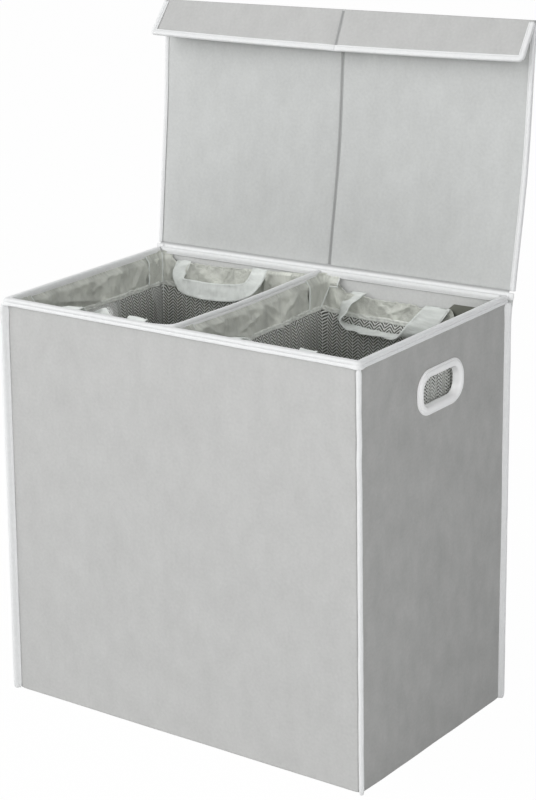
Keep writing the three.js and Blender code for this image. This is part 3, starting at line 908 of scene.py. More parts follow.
def add_floor_boards():
    def nearly_flat(a, b):
        return BASE_RIPPLE * soft_noise((a / SWELL_LENGTH, b / SWELL_LENGTH, 1))

    low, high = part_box("bottom_panel")
    inside = Vector((BOARD, BOARD, 0))
    skin = covered_board(low + inside, high - inside, 2, lambda a, b: 0, step=BOTTOM_STEP)
    box_piece("bottom_panel_cloth", skin, PANEL_CLOTH, "panel_cloth", "bottom_panel")
    for side in ("left", "right"):
        name = f"{side}_base_board"
        low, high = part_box(name)
        skin = covered_board(low, high, 2, nearly_flat, step=BASE_STEP)
        box_piece(f"{name}_covered", skin, BOARD_CLOTH, "base_board", name)


# Rim tape, divider and piping

TAPE_STEP = 8 * MM
TAPE_SWAY = 0.35 * MM
TAPE_SINK_SHARE = 0.4
TAPE_NARROWING = 0.05
TAPE_SWAY_LENGTH = 55 * MM
PROFILE_STEPS = 3
RIM_CORNER_STEPS = 7

# The rim tape's section: distance out of the wall's outer face, and height over the rim
RIM_SECTION = np.array([
    (0.35, -10.0), (1.4, -10.3), (2.3, -9.7), (2.7, -8.4), (2.6, -7.0), (1.9, -5.9),
    (1.55, -5.1), (1.9, -4.3), (2.4, -3.2), (2.2, -1.6), (1.1, -0.4), (-0.6, 0.1),
    (-2.6, 0.2), (-4.7, 0.1), (-6.3, -0.5), (-7.2, -2.0), (-7.5, -3.6), (-7.4, -5.2),
    (-7.2, -6.2), (-7.15, -7.0), (-7.3, -7.8), (-7.0, -8.4), (-6.2, -8.6), (-5.35, -8.3),
    (-5.3, -6), (-4.6, -2.6), (-2.5, -2.2), (-0.4, -2.6), (0.3, -6),
]) * MM
RIM_STITCHES = ((1.6 * MM, -5.1 * MM, 1), (-7.15 * MM, -6.6 * MM, -1))
RIM_BULGE = 3.4 * MM
RIM_BULGE_REACH = 6.5 * MM

# The divider tape's section: distance from its middle, and height over the rim
DIVIDER_OUTSIDE = [
    (1.85, -9.2), (3.0, -9.3), (3.7, -8.6), (3.9, -7.4), (3.7, -6.2), (3.15, -5.1),
    (3.6, -4.1), (3.75, -2.7), (3.3, -1.3), (2.1, -0.2),
]
DIVIDER_INSIDE = [(1.4, -2.4), (1.8, -6)]
DIVIDER_SECTION = MM * np.array([
    *DIVIDER_OUTSIDE, (0, 0.2), *mirrored(DIVIDER_OUTSIDE, 0),
    *mirrored(DIVIDER_INSIDE, 0), *DIVIDER_INSIDE,
])
DIVIDER_STITCH = (3.25 * MM, -5.1 * MM)
DIVIDER_BACK_BOW = -4 * MM
DIVIDER_FRONT_BOW = -4 * MM
DIVIDER_BOW_START = 40 * MM
DIVIDER_BOW_END = 130 * MM
# The tape spreads to the left where it meets the front rim: distance in front, and spread
DIVIDER_SPREAD = MM * np.array([
    (127, 0), (145, 1), (158, 3.5), (165, 8), (169, 16), (171.4, 32),
])
DIVIDER_CLOSE_PLACES = (-153 * MM, -161 * MM, -167 * MM)
DIVIDER_SIDE = 60 * MM


def rounded_loop(half_a, half_b, radius, step, corner_steps=5):
    """Points round a rectangle with rounded corners, and the outward direction at each."""
    points = []
    outs = []
    corners = ((1, 1), (-1, 1), (-1, -1), (1, -1))
    for corner, (sign_a, sign_b) in enumerate(corners):
        centre = np.array([sign_a * (half_a - radius), sign_b * (half_b - radius)])
        for k in range(corner_steps + 1):
            angle = (corner + k / corner_steps) * math.pi / 2
            out = np.array([math.cos(angle), math.sin(angle)])
            points.append(centre + radius * out)
            outs.append(out)
        next_a, next_b = corners[(corner + 1) % 4]
        target = np.array([next_a * (half_a - radius), next_b * (half_b - radius)]) + radius * out
        start = points[-1]
        count = max(2, round(np.linalg.norm(target - start) / step))
        for k in range(1, count):
            points.append(start + (target - start) * k / count)
            outs.append(out)
    return np.array(points), np.array(outs)


def divider_bow(y):
    """How far the divider stands off its straight line at a depth."""
    front = DIVIDER_FRONT_BOW * ease(-y, DIVIDER_BOW_START, DIVIDER_BOW_END)
    return front + DIVIDER_BACK_BOW * ease(y, 0, DIVIDER_REACH)


def divider_lean(x, y):
    """How far cloth at a place follows the divider's bow, fully where it lies against it."""
    return divider_bow(y) * (1 - ease(abs(x), 0, DIVIDER_SIDE))


def add_rim():
    places, outs = rounded_loop(HALF_WIDTH, HALF_DEPTH, RIM_CORNER, TAPE_STEP, RIM_CORNER_STEPS)
    origins = at_height(places, RIM_TOP)
    directions = at_height(outs, 0)
    loop = curve_through(RIM_SECTION, PROFILE_STEPS, closed=True)
    sections = []
    for x, y in places:
        swing = soft_noise((x / TAPE_SWAY_LENGTH, y / TAPE_SWAY_LENGTH, 5))
        dip = soft_noise((x / TAPE_SWAY_LENGTH, y / TAPE_SWAY_LENGTH, 8))
        section = loop.copy()
        low = np.clip(-section[:, 1] / (RIM_TOP - RIM_FOOT), 0, 1)
        section[:, 1] += TAPE_SWAY * (dip * low - TAPE_SINK_SHARE * abs(swing))
        section[:, 0] *= 1 - TAPE_NARROWING * abs(swing)
        away = math.hypot(HALF_WIDTH - abs(x), HALF_DEPTH - abs(y)) if y < 0 else math.inf
        bulge = RIM_BULGE * math.exp(-((away / RIM_BULGE_REACH) ** 2))
        section[:, 0] += bulge * low * (section[:, 0] > 0)
        sections.append(section)
    skin = sweep(origins, directions, (0, 0, 1), sections, closed=True)
    box_piece("rim_tape", skin, WHITE_TAPE, "white_tape", "rim_binding")
    around = [*range(len(places)), 0]
    runs = [
        ((origins + directions * out + (0, 0, height))[around], directions[around] * facing)
        for out, height, facing in RIM_STITCHES
    ]
    box_piece("rim_tape_stitches", stitched(runs), WHITE_THREAD, "white_tape", closed=False)


def add_divider():
    low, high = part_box("divider_panel")
    reach = DIVIDER_REACH - SMALL_GAP
    low = (low.x, -reach, low.z)
    high = (high.x, reach, high.z)
    skin = covered_board(low, high, 0, lambda y, z: divider_bow(y), step=DIVIDER_STEP)
    box_piece("divider_board", skin, PANEL_CLOTH, "panel_cloth", "divider_panel")

    marks, spreads = DIVIDER_SPREAD.T
    loop = curve_through(DIVIDER_SECTION, PROFILE_STEPS, closed=True)
    origins = []
    sections = []
    for y in stops(-DIVIDER_REACH, DIVIDER_REACH, TAPE_STEP, DIVIDER_CLOSE_PLACES):
        sway = TAPE_SWAY * soft_noise((y / TAPE_SWAY_LENGTH, 0, 2))
        origins.append((divider_bow(y) + sway, y, RIM_TOP))
        flare = np.interp(-y, marks, spreads)
        section = loop.copy()
        left = section[:, 0] < 0
        section[left, 0] -= flare * np.clip(-section[left, 0] / DIVIDER_STITCH[0], 0, 1)
        sections.append(section)
    skin = sweep(origins, (1, 0, 0), (0, 0, 1), sections)
    box_piece("divider_tape", skin, WHITE_TAPE, "white_tape", "divider_binding")
    line = np.array([origin for origin in origins if -origin[1] < marks[1]])
    runs = [
        (line + (sign * DIVIDER_STITCH[0], 0, DIVIDER_STITCH[1]), (sign, 0, 0))
        for sign in (-1, 1)
    ]
    box_piece("divider_tape_stitches", stitched(runs), WHITE_THREAD, "white_tape", closed=False)


PIPING_TOP = 590 * MM
PIPING_FOOT = 0.8 * MM
PIPING_STEP = 9 * MM
PIPING_SWAY = 0.3 * MM
PIPING_SWAY_LENGTH = 40 * MM
PIPING_TUCK = 6 * MM
PIPING_TUCK_SHARE = 0.25
PIPING_SWELL = 0.13
PIPING_SWELL_START = 562 * MM
PIPING_SIZE = {("front", "left"): 1.15, ("front", "right"): 0.8}
PIPING_SIZE_SWAY = 0.04
PIPING_ROUND = 5 * MM
PIPING_ROUND_SHARE = 0.35
# Half of the piping's section: distance out along the corner's diagonal, and to its side
PIPING_HALF = [
    (-4.2, -3.4), (-2.4, -3.3), (-0.8, -3.1), (0.6, -3.6), (2.2, -3.9), (4.0, -3.4),
    (5.3, -2.2), (5.9, -0.7),
]
PIPING_SECTION = MM * np.array([*PIPING_HALF, (5.7, 0), *mirrored(PIPING_HALF, 1)])


def add_piping():
    """Cord wrapped in tape, sewn outside each corner. Its top is tucked under the rim tape."""
    loop = curve_through(PIPING_SECTION, 2, closed=True)
    tuck_start = PIPING_TOP - PIPING_TUCK
    heights = stops(PIPING_FOOT, PIPING_TOP, PIPING_STEP, (tuck_start,))
    for depth, sign_y in DEPTHS:
        for side, sign_x in SIDES:
            origins = []
            sections = []
            for z in heights:
                at = z / PIPING_SWAY_LENGTH
                sway = PIPING_SWAY * soft_noise((sign_x, sign_y, at))
                size = PIPING_SIZE.get((depth, side), 1)
                size += PIPING_SIZE_SWAY * soft_noise((sign_x + 4, sign_y, at))
                size *= 1 + PIPING_SWELL * ease(z, PIPING_SWELL_START, tuck_start)
                foot = max(0, 1 - (z - PIPING_FOOT) / PIPING_ROUND)
                tuck = PIPING_TUCK_SHARE * ease(z, tuck_start, PIPING_TOP)
                size *= 1 - tuck - PIPING_ROUND_SHARE * foot ** 2
                origins.append((
                    sign_x * HALF_WIDTH + sway * sign_y, sign_y * HALF_DEPTH - sway * sign_x, z
                ))
                sections.append(loop * size)
            out = np.array((sign_x, sign_y, 0)) / math.sqrt(2)
            skin = sweep(origins, out, np.cross((0, 0, 1), out), sections)
            name = f"{depth}_{side}_piping"
            box_piece(f"{name}_tape", skin, WHITE_TAPE, "white_tape", name)


# A wedge of cloth on each back corner, from the box's width below to the lid's width above
FIN_FOOT = 512 * MM
FIN_TOP = 602 * MM
FIN_INNER = 296 * MM
FIN_REACH = (300.5 * MM, 308 * MM)
FIN_Y = 181.8 * MM
FIN_CLOTH = 1.2 * MM
FIN_ROWS = 16
FIN_COLUMNS = 4
FIN_CURVE = 1.5
FIN_BAND = 8 * MM
FIN_BAND_ROWS = 4


def add_fins():
    for side, sign in SIDES:
        def row(share):
            reach = FIN_REACH[0] + (FIN_REACH[1] - FIN_REACH[0]) * share ** FIN_CURVE
            return [
                (sign * (FIN_INNER + (reach - FIN_INNER) * k / FIN_COLUMNS), FIN_Y,
                 FIN_FOOT + (FIN_TOP - FIN_FOOT) * share)
                for k in range(FIN_COLUMNS + 1)
            ]

        tape_share = 1 - FIN_BAND / (FIN_TOP - FIN_FOOT)
        cloth = thick(grid([row(s) for s in np.linspace(0, 1, FIN_ROWS)]), FIN_CLOTH)
        box_piece(f"back_{side}_fin", cloth, LID_CLOTH, "hinge_cloth")
        rows = [row(s) for s in np.linspace(tape_share, 1, FIN_BAND_ROWS)]
        band = thick(grid(rows), 2 * FIN_CLOTH)
        box_piece(f"back_{side}_fin_tape", band, WHITE_TAPE, "white_tape")


# Grips

GRIP_STEP = 5 * MM
GRIP_CORNER_STEPS = 10
# The ring's section: distance out from the opening, and height over the wall
GRIP_SECTION = np.array([
    (0, -7.3), (1.3, -7.3), (1.7, -6.6), (1.8, 0.3), (10.6, 0.3), (11.6, 0.7), (11.7, 1.7),
    (11.0, 2.5), (9.6, 2.9), (9.2, 3.4), (8.6, 4.6), (6.6, 5.7), (4.2, 5.6), (1.8, 4.5),
    (0.5, 2.8), (0, 0),
]) * MM
GRIP_BACKING_SECTION = np.array([
    (2.0, -7.3), (10.6, -7.3), (11.6, -6.9), (11.6, -5.9), (11.1, -5.4), (2.0, -5.4),
]) * MM


def add_grips():
    places, outs = rounded_loop(*GRIP_HALF, GRIP_CORNER, GRIP_STEP, GRIP_CORNER_STEPS)
    count = len(places)
    for side, sign in SIDES:
        origins = np.column_stack([
            np.full(count, sign * HALF_WIDTH),
            places[:, 0] + GRIP_CENTRE[0], places[:, 1] + GRIP_CENTRE[1],
        ])
        directions = np.column_stack([np.zeros(count), outs])
        for part, section in (
            ("grip_ring", GRIP_SECTION), ("grip_backing_ring", GRIP_BACKING_SECTION),
        ):
            loop = curve_through(section, PROFILE_STEPS, closed=True)
            skin = sweep(origins, directions, (sign, 0, 0), loop, closed=True)
            name = f"{side}_{part}"
            box_piece(f"{name}_moulded", skin, WHITE_PLASTIC, "white_plastic", name)


# Bags

LINING = 0.7 * MM
BAG_STEP = 3.2 * MM
BAG_CORNER_STEPS = 6
BAND_ROWS = 26
HEM_DROP = 6.5 * MM
HEM_TUCK = -1.6 * MM
HEM_TUCK_RANGE = (9 * MM, 15 * MM)
FRONT_HEM_SAG = 3 * MM
HEM_ROLL = 0.9 * MM
HEM_SIDES = 8
SCALLOP = 1.5 * MM
SCALLOP_LENGTH = 11 * MM
GATHER = 0.35
GATHER_LENGTH = 5 * MM
FOLD_DEPTH = 5.5 * MM
FOLD_LEVEL = 0.4
FOLD_SWING = 0.8
FOLD_POWER = 1.5
BACK_FOLD_SHARE = 0.55
FOLD_LENGTH = 40 * MM
FOLD_HEIGHT = 80 * MM
FOLD_SLANT = 0.8
FACET_DEPTH = 4 * MM
FACET_SHARPNESS = 2.2
FACET_LENGTH = 26 * MM
FACET_HEIGHT = 42 * MM
PUCKER_DEPTH = 0.35 * MM
PUCKER_LENGTH = 9 * MM
CREASE_WIDTH = 3.4 * MM
CREASE_FACING = 0.7
CORNER_CALM = 0.75
CORNER_LEAST = 0.2
SEAM_SAG = {-1: 3 * MM, 1: 7 * MM}
SEAM_SECTION = np.array([
    (0.2, -3.4), (-1.1, -3.6), (-2.0, -2.0), (-1.5, 0), (-2.1, 1.9), (-1.1, 3.6), (0.2, 3.4),
]) * MM

# The hem along the back wall: share of its length from the left, and drop below the rim in mm
LEFT_HEM = (
    (0, 4), (0.06, 6), (0.085, 15), (0.11, 19), (0.22, 18), (0.34, 18), (0.5, 16),
    (0.59, 14), (0.76, 12), (0.88, 10), (0.96, 7), (1, 4),
)
RIGHT_HEM = (
    (0, 3), (0.085, 4), (0.095, 15), (0.125, 23), (0.155, 28), (0.24, 29), (0.36, 32),
    (0.45, 32), (0.52, 30), (0.57, 34), (0.64, 33), (0.7, 30), (0.745, 32), (0.775, 46),
    (0.93, 46), (0.97, 24), (1, 4),
)

# Sharp creases in a band: their wall (0 for x, 1 for y) and its sign, and in mm the place along
# the wall and the height of both ends, and the depth
LEFT_CREASES = (
    (0, -1, (47, 597), (67, 580), 4), (0, -1, (-24, 595), (1, 569), 4),
    (0, -1, (4, 572), (50, 592), 3), (0, -1, (-85, 574), (0, 557), 4.5),
    (0, -1, (-110, 591), (-96, 574), 3.5), (0, -1, (95, 556), (122, 590), 4.5),
    (1, 1, (-244, 552), (-238, 580), 5.5), (1, 1, (-227, 556), (-221, 582), 4.5),
    (1, 1, (-98, 552), (-90, 588), 5.5),
)
RIGHT_CREASES = (
    (0, -1, (10, 584), (55, 548), 5), (0, -1, (-38, 562), (5, 573), 3.5),
    (0, -1, (-90, 584), (-72, 588), 2.5), (0, -1, (-60, 560), (-17, 551), 4),
    (0, -1, (70, 560), (104, 588), 4.5), (0, -1, (28, 590), (48, 568), 3),
    (1, 1, (84, 546), (90, 568), 5), (1, 1, (118, 552), (150, 566), 3.5),
)


def distance_to(point, start, end):
    run = end - start
    share = np.clip((point - start) @ run / (run @ run), 0, 1)
    return np.linalg.norm(point - start - run * share)


class Bag:
    """One bag's walls: where its loop runs, how its hem hangs and how its cloth folds."""

    def __init__(self, side, sign, hem, creases):
        self.side = side
        self.sign = sign
        self.hem_shares, drops = zip(*hem)
        self.hem_drops = np.array(drops) * MM
        self.creases = [
            (wall, side_sign, np.array(start) * MM, np.array(end) * MM, depth * MM)
            for wall, side_sign, start, end, depth in creases
        ]
        self.centre = sign * BAG_CENTRE
        self.seed = 20 + 5 * sign
        places, outs = rounded_loop(
            BAG_HALF_X, BAG_HALF_Y, BAG_CORNER, BAG_STEP, BAG_CORNER_STEPS
        )
        self.places = places + (self.centre, 0)
        self.outs = outs
        steps = np.linalg.norm(np.diff(self.places, axis=0, append=self.places[:1]), axis=1)
        self.along = np.concatenate([[0], np.cumsum(steps)[:-1]])

    def hem_top(self, i):
        out = self.outs[i]
        share = (self.places[i][0] - self.centre + BAG_HALF_X) / (2 * BAG_HALF_X)
        drop = HEM_DROP
        if out[1] > 0.5:
            drop = np.interp(share, self.hem_shares, self.hem_drops)
        elif out[1] < -0.5:
            drop += FRONT_HEM_SAG * math.sin(math.pi * share)
        loose = ease(drop, HEM_DROP, 3 * HEM_DROP)
        wave = abs(math.sin(math.pi * self.along[i] / SCALLOP_LENGTH))
        wave += soft_noise((self.along[i] / SCALLOP_LENGTH, self.seed, 0))
        return RIM_TOP - drop + SCALLOP * loose * wave

    def seam_at(self, i):
        """The height of the seam between band and net, which hangs lower along the back."""
        share = (self.places[i][0] - self.centre) / BAG_HALF_X
        return BAG_SEAM_Z - SEAM_SAG[self.sign] * max(self.outs[i][1], 0) * (1 - share ** 4)

    def fold(self, i, z):
        """How far the cloth stands in from the bag's outline: soft folds, sharp ridges between
        flat facets, and the creases that are listed."""
        x, y = self.places[i]
        s = self.along[i]
        place = ((s + FOLD_SLANT * z) / FOLD_LENGTH, z / FOLD_HEIGHT, self.seed)
        wide = max(0, FOLD_LEVEL + FOLD_SWING * soft_noise(place, 1)) ** FOLD_POWER
        place = ((s - FOLD_SLANT * z) / FACET_LENGTH, z / FACET_HEIGHT, self.seed + 7)
        facet = max(0, 1 - FACET_SHARPNESS * abs(soft_noise(place, 1)))
        pucker = soft_noise((s / PUCKER_LENGTH, z / PUCKER_LENGTH, self.seed + 3))
        depth = FOLD_DEPTH * wide + FACET_DEPTH * facet + PUCKER_DEPTH * (1 + pucker)
        depth *= 1 - (1 - BACK_FOLD_SHARE) * max(self.outs[i][1], 0)
        for wall, sign, start, end, height in self.creases:
            if self.outs[i][wall] * sign < CREASE_FACING:
                continue
            place = np.array((y if wall == 0 else x, z))
            depth += height * math.exp(-distance_to(place, start, end) / CREASE_WIDTH)
        below_rim = ease(RIM_TOP - z, *HEM_TUCK_RANGE)
        corner = 1 - CORNER_CALM * (1 - abs(abs(self.outs[i][0]) - abs(self.outs[i][1])))
        hung = LINING + depth * max(corner, CORNER_LEAST)
        return HEM_TUCK * (1 - below_rim) + hung * below_rim

    def at(self, i, z, inset):
        x, y = self.places[i] - self.outs[i] * inset
        return (x + divider_lean(x, y), y, z)

    def wall(self):
        """Rows of points down the band, from its hem to its seam."""
        points = []
        for row in range(BAND_ROWS + 1):
            ring = []
            for i in range(len(self.places)):
                high = self.hem_top(i)
                z = high + (self.seam_at(i) - high) * row / BAND_ROWS
                ring.append(self.at(i, z, self.fold(i, z)))
            points.append(ring)
        return np.array(points)


NET_SHOULDER = 18 * MM
NET_INSET = 10 * MM
NET_FOOT_INSET = 14 * MM
NET_FOOT_CURVE = 22 * MM
NET_FOLD = 2.6 * MM
NET_FOLD_LENGTH = 48 * MM
NET_FOLD_HEIGHT = 260 * MM
NET_ROWS = 44
NET_FLOOR_ROWS = 9


def add_band(bag):
    name = f"{bag.side}_bag_band"
    wall = bag.wall()
    skin = thick(grid(wall, close_columns=True), LINING)
    band = box_piece(f"{name}_lining", skin, SATIN, "bag_satin", name)

    outs = at_height(bag.outs, 0)
    ring = circle(HEM_ROLL, HEM_SIDES)
    rolls = [
        ring * (1 + GATHER * soft_noise((along / GATHER_LENGTH, bag.seed, 4)))
        for along in bag.along
    ]
    skin = sweep(wall[0], outs, (0, 0, 1), rolls, closed=True)
    hem = box_piece(f"{bag.side}_bag_hem", skin, SATIN, "bag_satin")

    loop = curve_through(SEAM_SECTION, 2, closed=True)
    skin = sweep(wall[-1], outs, (0, 0, 1), loop, closed=True)
    seam = box_piece(f"{bag.side}_bag_seam", skin, SEAM_SATIN, "bag_satin")


def add_net(bag):
    count = len(bag.places)
    points = []
    for row in range(NET_ROWS + 1):
        share = row / NET_ROWS
        inset = NET_INSET + (NET_FOOT_INSET - NET_INSET) * share
        ring = []
        for i in range(count):
            top = bag.seam_at(i)
            z = top + (NET_FOOT_Z - top) * share
            hung = ease(top - z, 0, NET_SHOULDER)
            low = max(0, 1 - (z - NET_FOOT_Z) / NET_FOOT_CURVE)
            place = (bag.along[i] / NET_FOLD_LENGTH, z / NET_FOLD_HEIGHT, bag.seed + 11)
            pleat = NET_FOLD * soft_noise(place) * (1 - low)
            curve = NET_FOOT_CURVE * (1 - math.sqrt(max(0, 1 - low ** 2)))
            seam = bag.fold(i, top)
            ring.append(bag.at(i, z, seam * (1 - hung) + (inset + pleat + curve) * hung))
        points.append(ring)
    foot = np.array(points[-1])
    centre = np.array((bag.centre, 0, NET_FOOT_Z))
    for row in range(1, NET_FLOOR_ROWS):
        points.append(centre + (foot - centre) * (1 - row / NET_FLOOR_ROWS))
    skin = grid(points, close_columns=True)
    last = (len(points) - 1) * count
    middle = len(skin.points)
    skin.points = np.vstack([skin.points, centre])
    for i in range(count):
        skin.faces.append((last + i, last + (i + 1) % count, middle))
        skin.flat.append(((0, 0), (BAG_STEP, 0), (0, BAG_STEP)))
    name = f"{bag.side}_bag_net"
    net = box_piece(f"{name}_hung", skin, NET, "bag_net", name, closed=False)


TAB_CLOTH = 1.2 * MM
TAB_TOP = RIM_TOP - 6.5 * MM
TAB_HEIGHT = 44 * MM
TAB_LEG = 25 * MM
TAB_BACK_LEG = 16 * MM
TAB_TURN = math.radians(45)
TAB_SHORT_SHARE = 0.3
TAB_SHORT_RANGE = (0.4, 0.75)
TAB_HIGH_INSET = -0.4 * MM
TAB_LOW_INSET = 6 * MM
TAB_DROP = 9 * MM
TAB_CURL = 0.9 * MM
TAB_CURL_POINTS = 4
TAB_CURL_ROWS = 5
TAB_ROWS = 14
TAB_LEG_STEPS = 7
TAB_CORNER_STEPS = 5
TAB_EDGE = 1.25 * MM
TAB_EDGE_SIDES = 8
TAB_PUCKER = 0.7 * MM


def add_tab(bag, depth, sign_y, corner, sign_x):
    """Doubled cloth in a corner, sewn in under the rim and hanging down the side wall. One tab
    has a leg on the back wall too."""
    two_legs = (bag.side, depth, corner) == ("right", "back", "left")
    turn = math.pi / 2 if two_legs else TAB_TURN
    path = []
    for k in range(TAB_LEG_STEPS):
        y = BAG_HALF_Y - BAG_CORNER - TAB_LEG * (1 - k / TAB_LEG_STEPS)
        path.append((BAG_HALF_X, y, 1, 0))
    for k in range(TAB_CORNER_STEPS + 1):
        angle = k / TAB_CORNER_STEPS * turn
        out = (math.cos(angle), math.sin(angle))
        path.append((
            BAG_HALF_X - BAG_CORNER * (1 - out[0]), BAG_HALF_Y - BAG_CORNER * (1 - out[1]), *out
        ))
    for k in range(1, TAB_LEG_STEPS + 1 if two_legs else 1):
        x = BAG_HALF_X - BAG_CORNER - TAB_BACK_LEG * k / TAB_LEG_STEPS
        path.append((x, BAG_HALF_Y, 0, 1))
    points = []
    for row in range(TAB_ROWS + 1):
        ring = []
        for n, (x, y, out_x, out_y) in enumerate(path):
            height = TAB_HEIGHT
            if two_legs:
                short = ease(n / (len(path) - 1), *TAB_SHORT_RANGE)
                height *= 1 - (1 - TAB_SHORT_SHARE) * short
            drop = height * row / TAB_ROWS
            lower = ease(drop, 0, TAB_DROP)
            inset = TAB_HIGH_INSET + (TAB_LOW_INSET - TAB_HIGH_INSET) * lower
            place = (n / TAB_CURL_POINTS, row / TAB_CURL_ROWS, bag.seed + sign_x + 3 * sign_y)
            inset += TAB_CURL * soft_noise(place)
            inset += TAB_PUCKER * (1 - lower) * math.cos(2 * n)
            place_x = bag.centre + sign_x * (x - out_x * inset)
            place_y = sign_y * (y - out_y * inset)
            ring.append((place_x + divider_lean(place_x, place_y), place_y, TAB_TOP - drop))
        points.append(ring)
    points = np.array(points)
    name = f"{bag.side}_bag_{depth}_{corner}_tab"
    skin = thick(grid(points), TAB_CLOTH)
    box_piece(f"{name}_cloth", skin, SATIN, "bag_satin", name)
    border = np.vstack([points[:-1, 0], points[-1], points[-2::-1, -1]])
    runs = unit(np.gradient(border, axis=0))
    away = np.array([(sign_x * ox, sign_y * oy, 0) for _, _, ox, oy in path])
    outs = np.vstack([
        np.tile(away[0], (TAB_ROWS, 1)), away, np.tile(away[-1], (TAB_ROWS, 1)),
    ])
    edge = sweep(border, outs, np.cross(runs, outs), circle(TAB_EDGE, TAB_EDGE_SIDES))
    box_piece(f"{name}_edge", edge, STRAP_CLOTH, "bag_satin")


# Strap handles

STRAP_WIDTH = 26 * MM
STRAP_STEPS = 7
STRAP_BLEND = 9 * MM
STRAP_STITCH_SHARE = 0.42
STRAP_RIPPLE = 0.6 * MM
STRAP_RIPPLE_LENGTH = 20 * MM
STRAP_WAVE_LENGTH = 8 * MM
STRAP_WAVES_ACROSS = 3
STRAP_CRUMPLE = 1.9 * MM
STRAP_CRUMPLE_LENGTH = 14 * MM
STRAP_CRUMPLES_ACROSS = 1.4
# The strap's section: share of half its width, and height of its folded cloth
STRAP_QUARTER = [(-0.985, 0.75), (-0.94, 1.0), (-0.8, 0.95), (-0.72, 0.7), (-0.4, 0.62)]
STRAP_UPPER = [*STRAP_QUARTER, (0, 0.6), *mirrored(STRAP_QUARTER, 0)]
STRAP_SECTION = [(-1, 0), *STRAP_UPPER, (1, 0), *mirrored(STRAP_UPPER, 1)]
STRAP_HALF_CLOTH = 0.9 * MM

# Each strap: the places of its middle in mm, from its left arm's top to its right arm's, and half
# its width towards the inside of the loop, as a share of half the cut width
LEFT_BACK_STRAP = [
    ((-245, 168.6, 586), (1, 0.05, 0.05)), ((-249, 166, 576), (1, 0.08, 0.02)),
    ((-251, 162, 567), (0.9, 0.12, 0.08)), ((-249, 158, 559), (0.68, 0.12, 0.3)),
    ((-240, 154, 552), (0.38, 0.1, 0.75)), ((-223, 152.5, 549.5), (0.05, 0.15, 0.96)),
    ((-197, 151.5, 548.5), (-0.02, 0.15, 1)), ((-169, 151.5, 549.5), (-0.03, 0.15, 1)),
    ((-139, 152, 553), (-0.12, 0.12, 0.97)), ((-120, 154.5, 560), (-0.58, 0.1, 0.66)),
    ((-111, 158, 569), (-0.92, 0.05, 0.28)), ((-107, 163, 579), (-1, 0, 0.05)),
    ((-105, 168.6, 590), (-1, 0, 0)),
]
RIGHT_BACK_STRAP = [
    ((68, 168.6, 577), (1, -0.1, 0.05)), ((56, 165.5, 566), (0.95, -0.28, 0.05)),
    ((49, 160, 555), (0.85, -0.48, 0.1)), ((47, 155, 544), (0.76, -0.6, 0.2)),
    ((46, 150.5, 536), (0.62, -0.75, 0.1)), ((58, 149.5, 530.5), (0.3, -0.7, -0.05)),
    ((79, 149, 528), (0.1, -0.66, -0.1)), ((102, 149, 526.5), (0, -0.64, -0.1)),
    ((129, 149, 526), (0, -0.64, -0.1)), ((147, 149.5, 527), (-0.15, -0.68, -0.05)),
    ((160, 151.5, 530), (-0.7, -0.65, 0.3)), ((171, 155, 538), (-1.2, -0.3, 0.4)),
    ((184, 161.5, 553), (-1.5, 0, 0.3)), ((198, 168.2, 572), (-1.55, 0, 0)),
]
LEFT_FRONT_STRAP = [
    ((-192, -168.6, 583), (1.3, 0, 0)), ((-192, -167.4, 590), (1.3, 0.1, 0)),
    ((-191, -163, 596.5), (1.3, 0.15, 0.05)), ((-190, -156, 595.5), (1.2, 0.2, 0.1)),
    ((-188, -149.5, 585), (0.8, 0.3, 0.5)), ((-178, -143, 577), (0.3, 0.45, 0.75)),
    ((-159, -131, 582), (-0.05, 0.5, 0.75)), ((-140, -136, 574), (-0.15, 0.3, 0.85)),
    ((-104, -146, 574), (-0.3, 0, 0.95)), ((-84, -149.5, 583), (-0.9, 0.1, 0.4)),
    ((-73.5, -155.5, 596), (-1.2, 0.1, 0.03)), ((-72.5, -161.5, 598.4), (-1.25, 0, 0.03)),
    ((-72, -167, 592), (-1.2, 0, 0)), ((-72, -168.6, 583), (-1.2, 0, 0)),
]
RIGHT_FRONT_STRAP = [
    ((88, -168.6, 583), (1, 0, 0)), ((88, -167.4, 589), (1, 0.1, 0)),
    ((89, -163, 594.5), (0.97, 0.25, 0)), ((92, -156, 593.5), (0.9, 0.35, 0.1)),
    ((98, -150.5, 584), (0.75, 0.3, 0.55)), ((118, -147, 574.5), (0.3, 0, 0.95)),
    ((150, -146.5, 571.5), (0, -0.05, 1)), ((183, -147, 574.5), (-0.3, 0, 0.95)),
    ((202, -150, 583), (-0.9, 0.1, 0.4)), ((209, -155.5, 594), (-1, 0.1, 0)),
    ((211, -162, 596), (-1, 0, 0)), ((212, -167.4, 590), (-1, 0, 0)),
    ((212, -168.6, 583), (-1, 0, 0)),
]


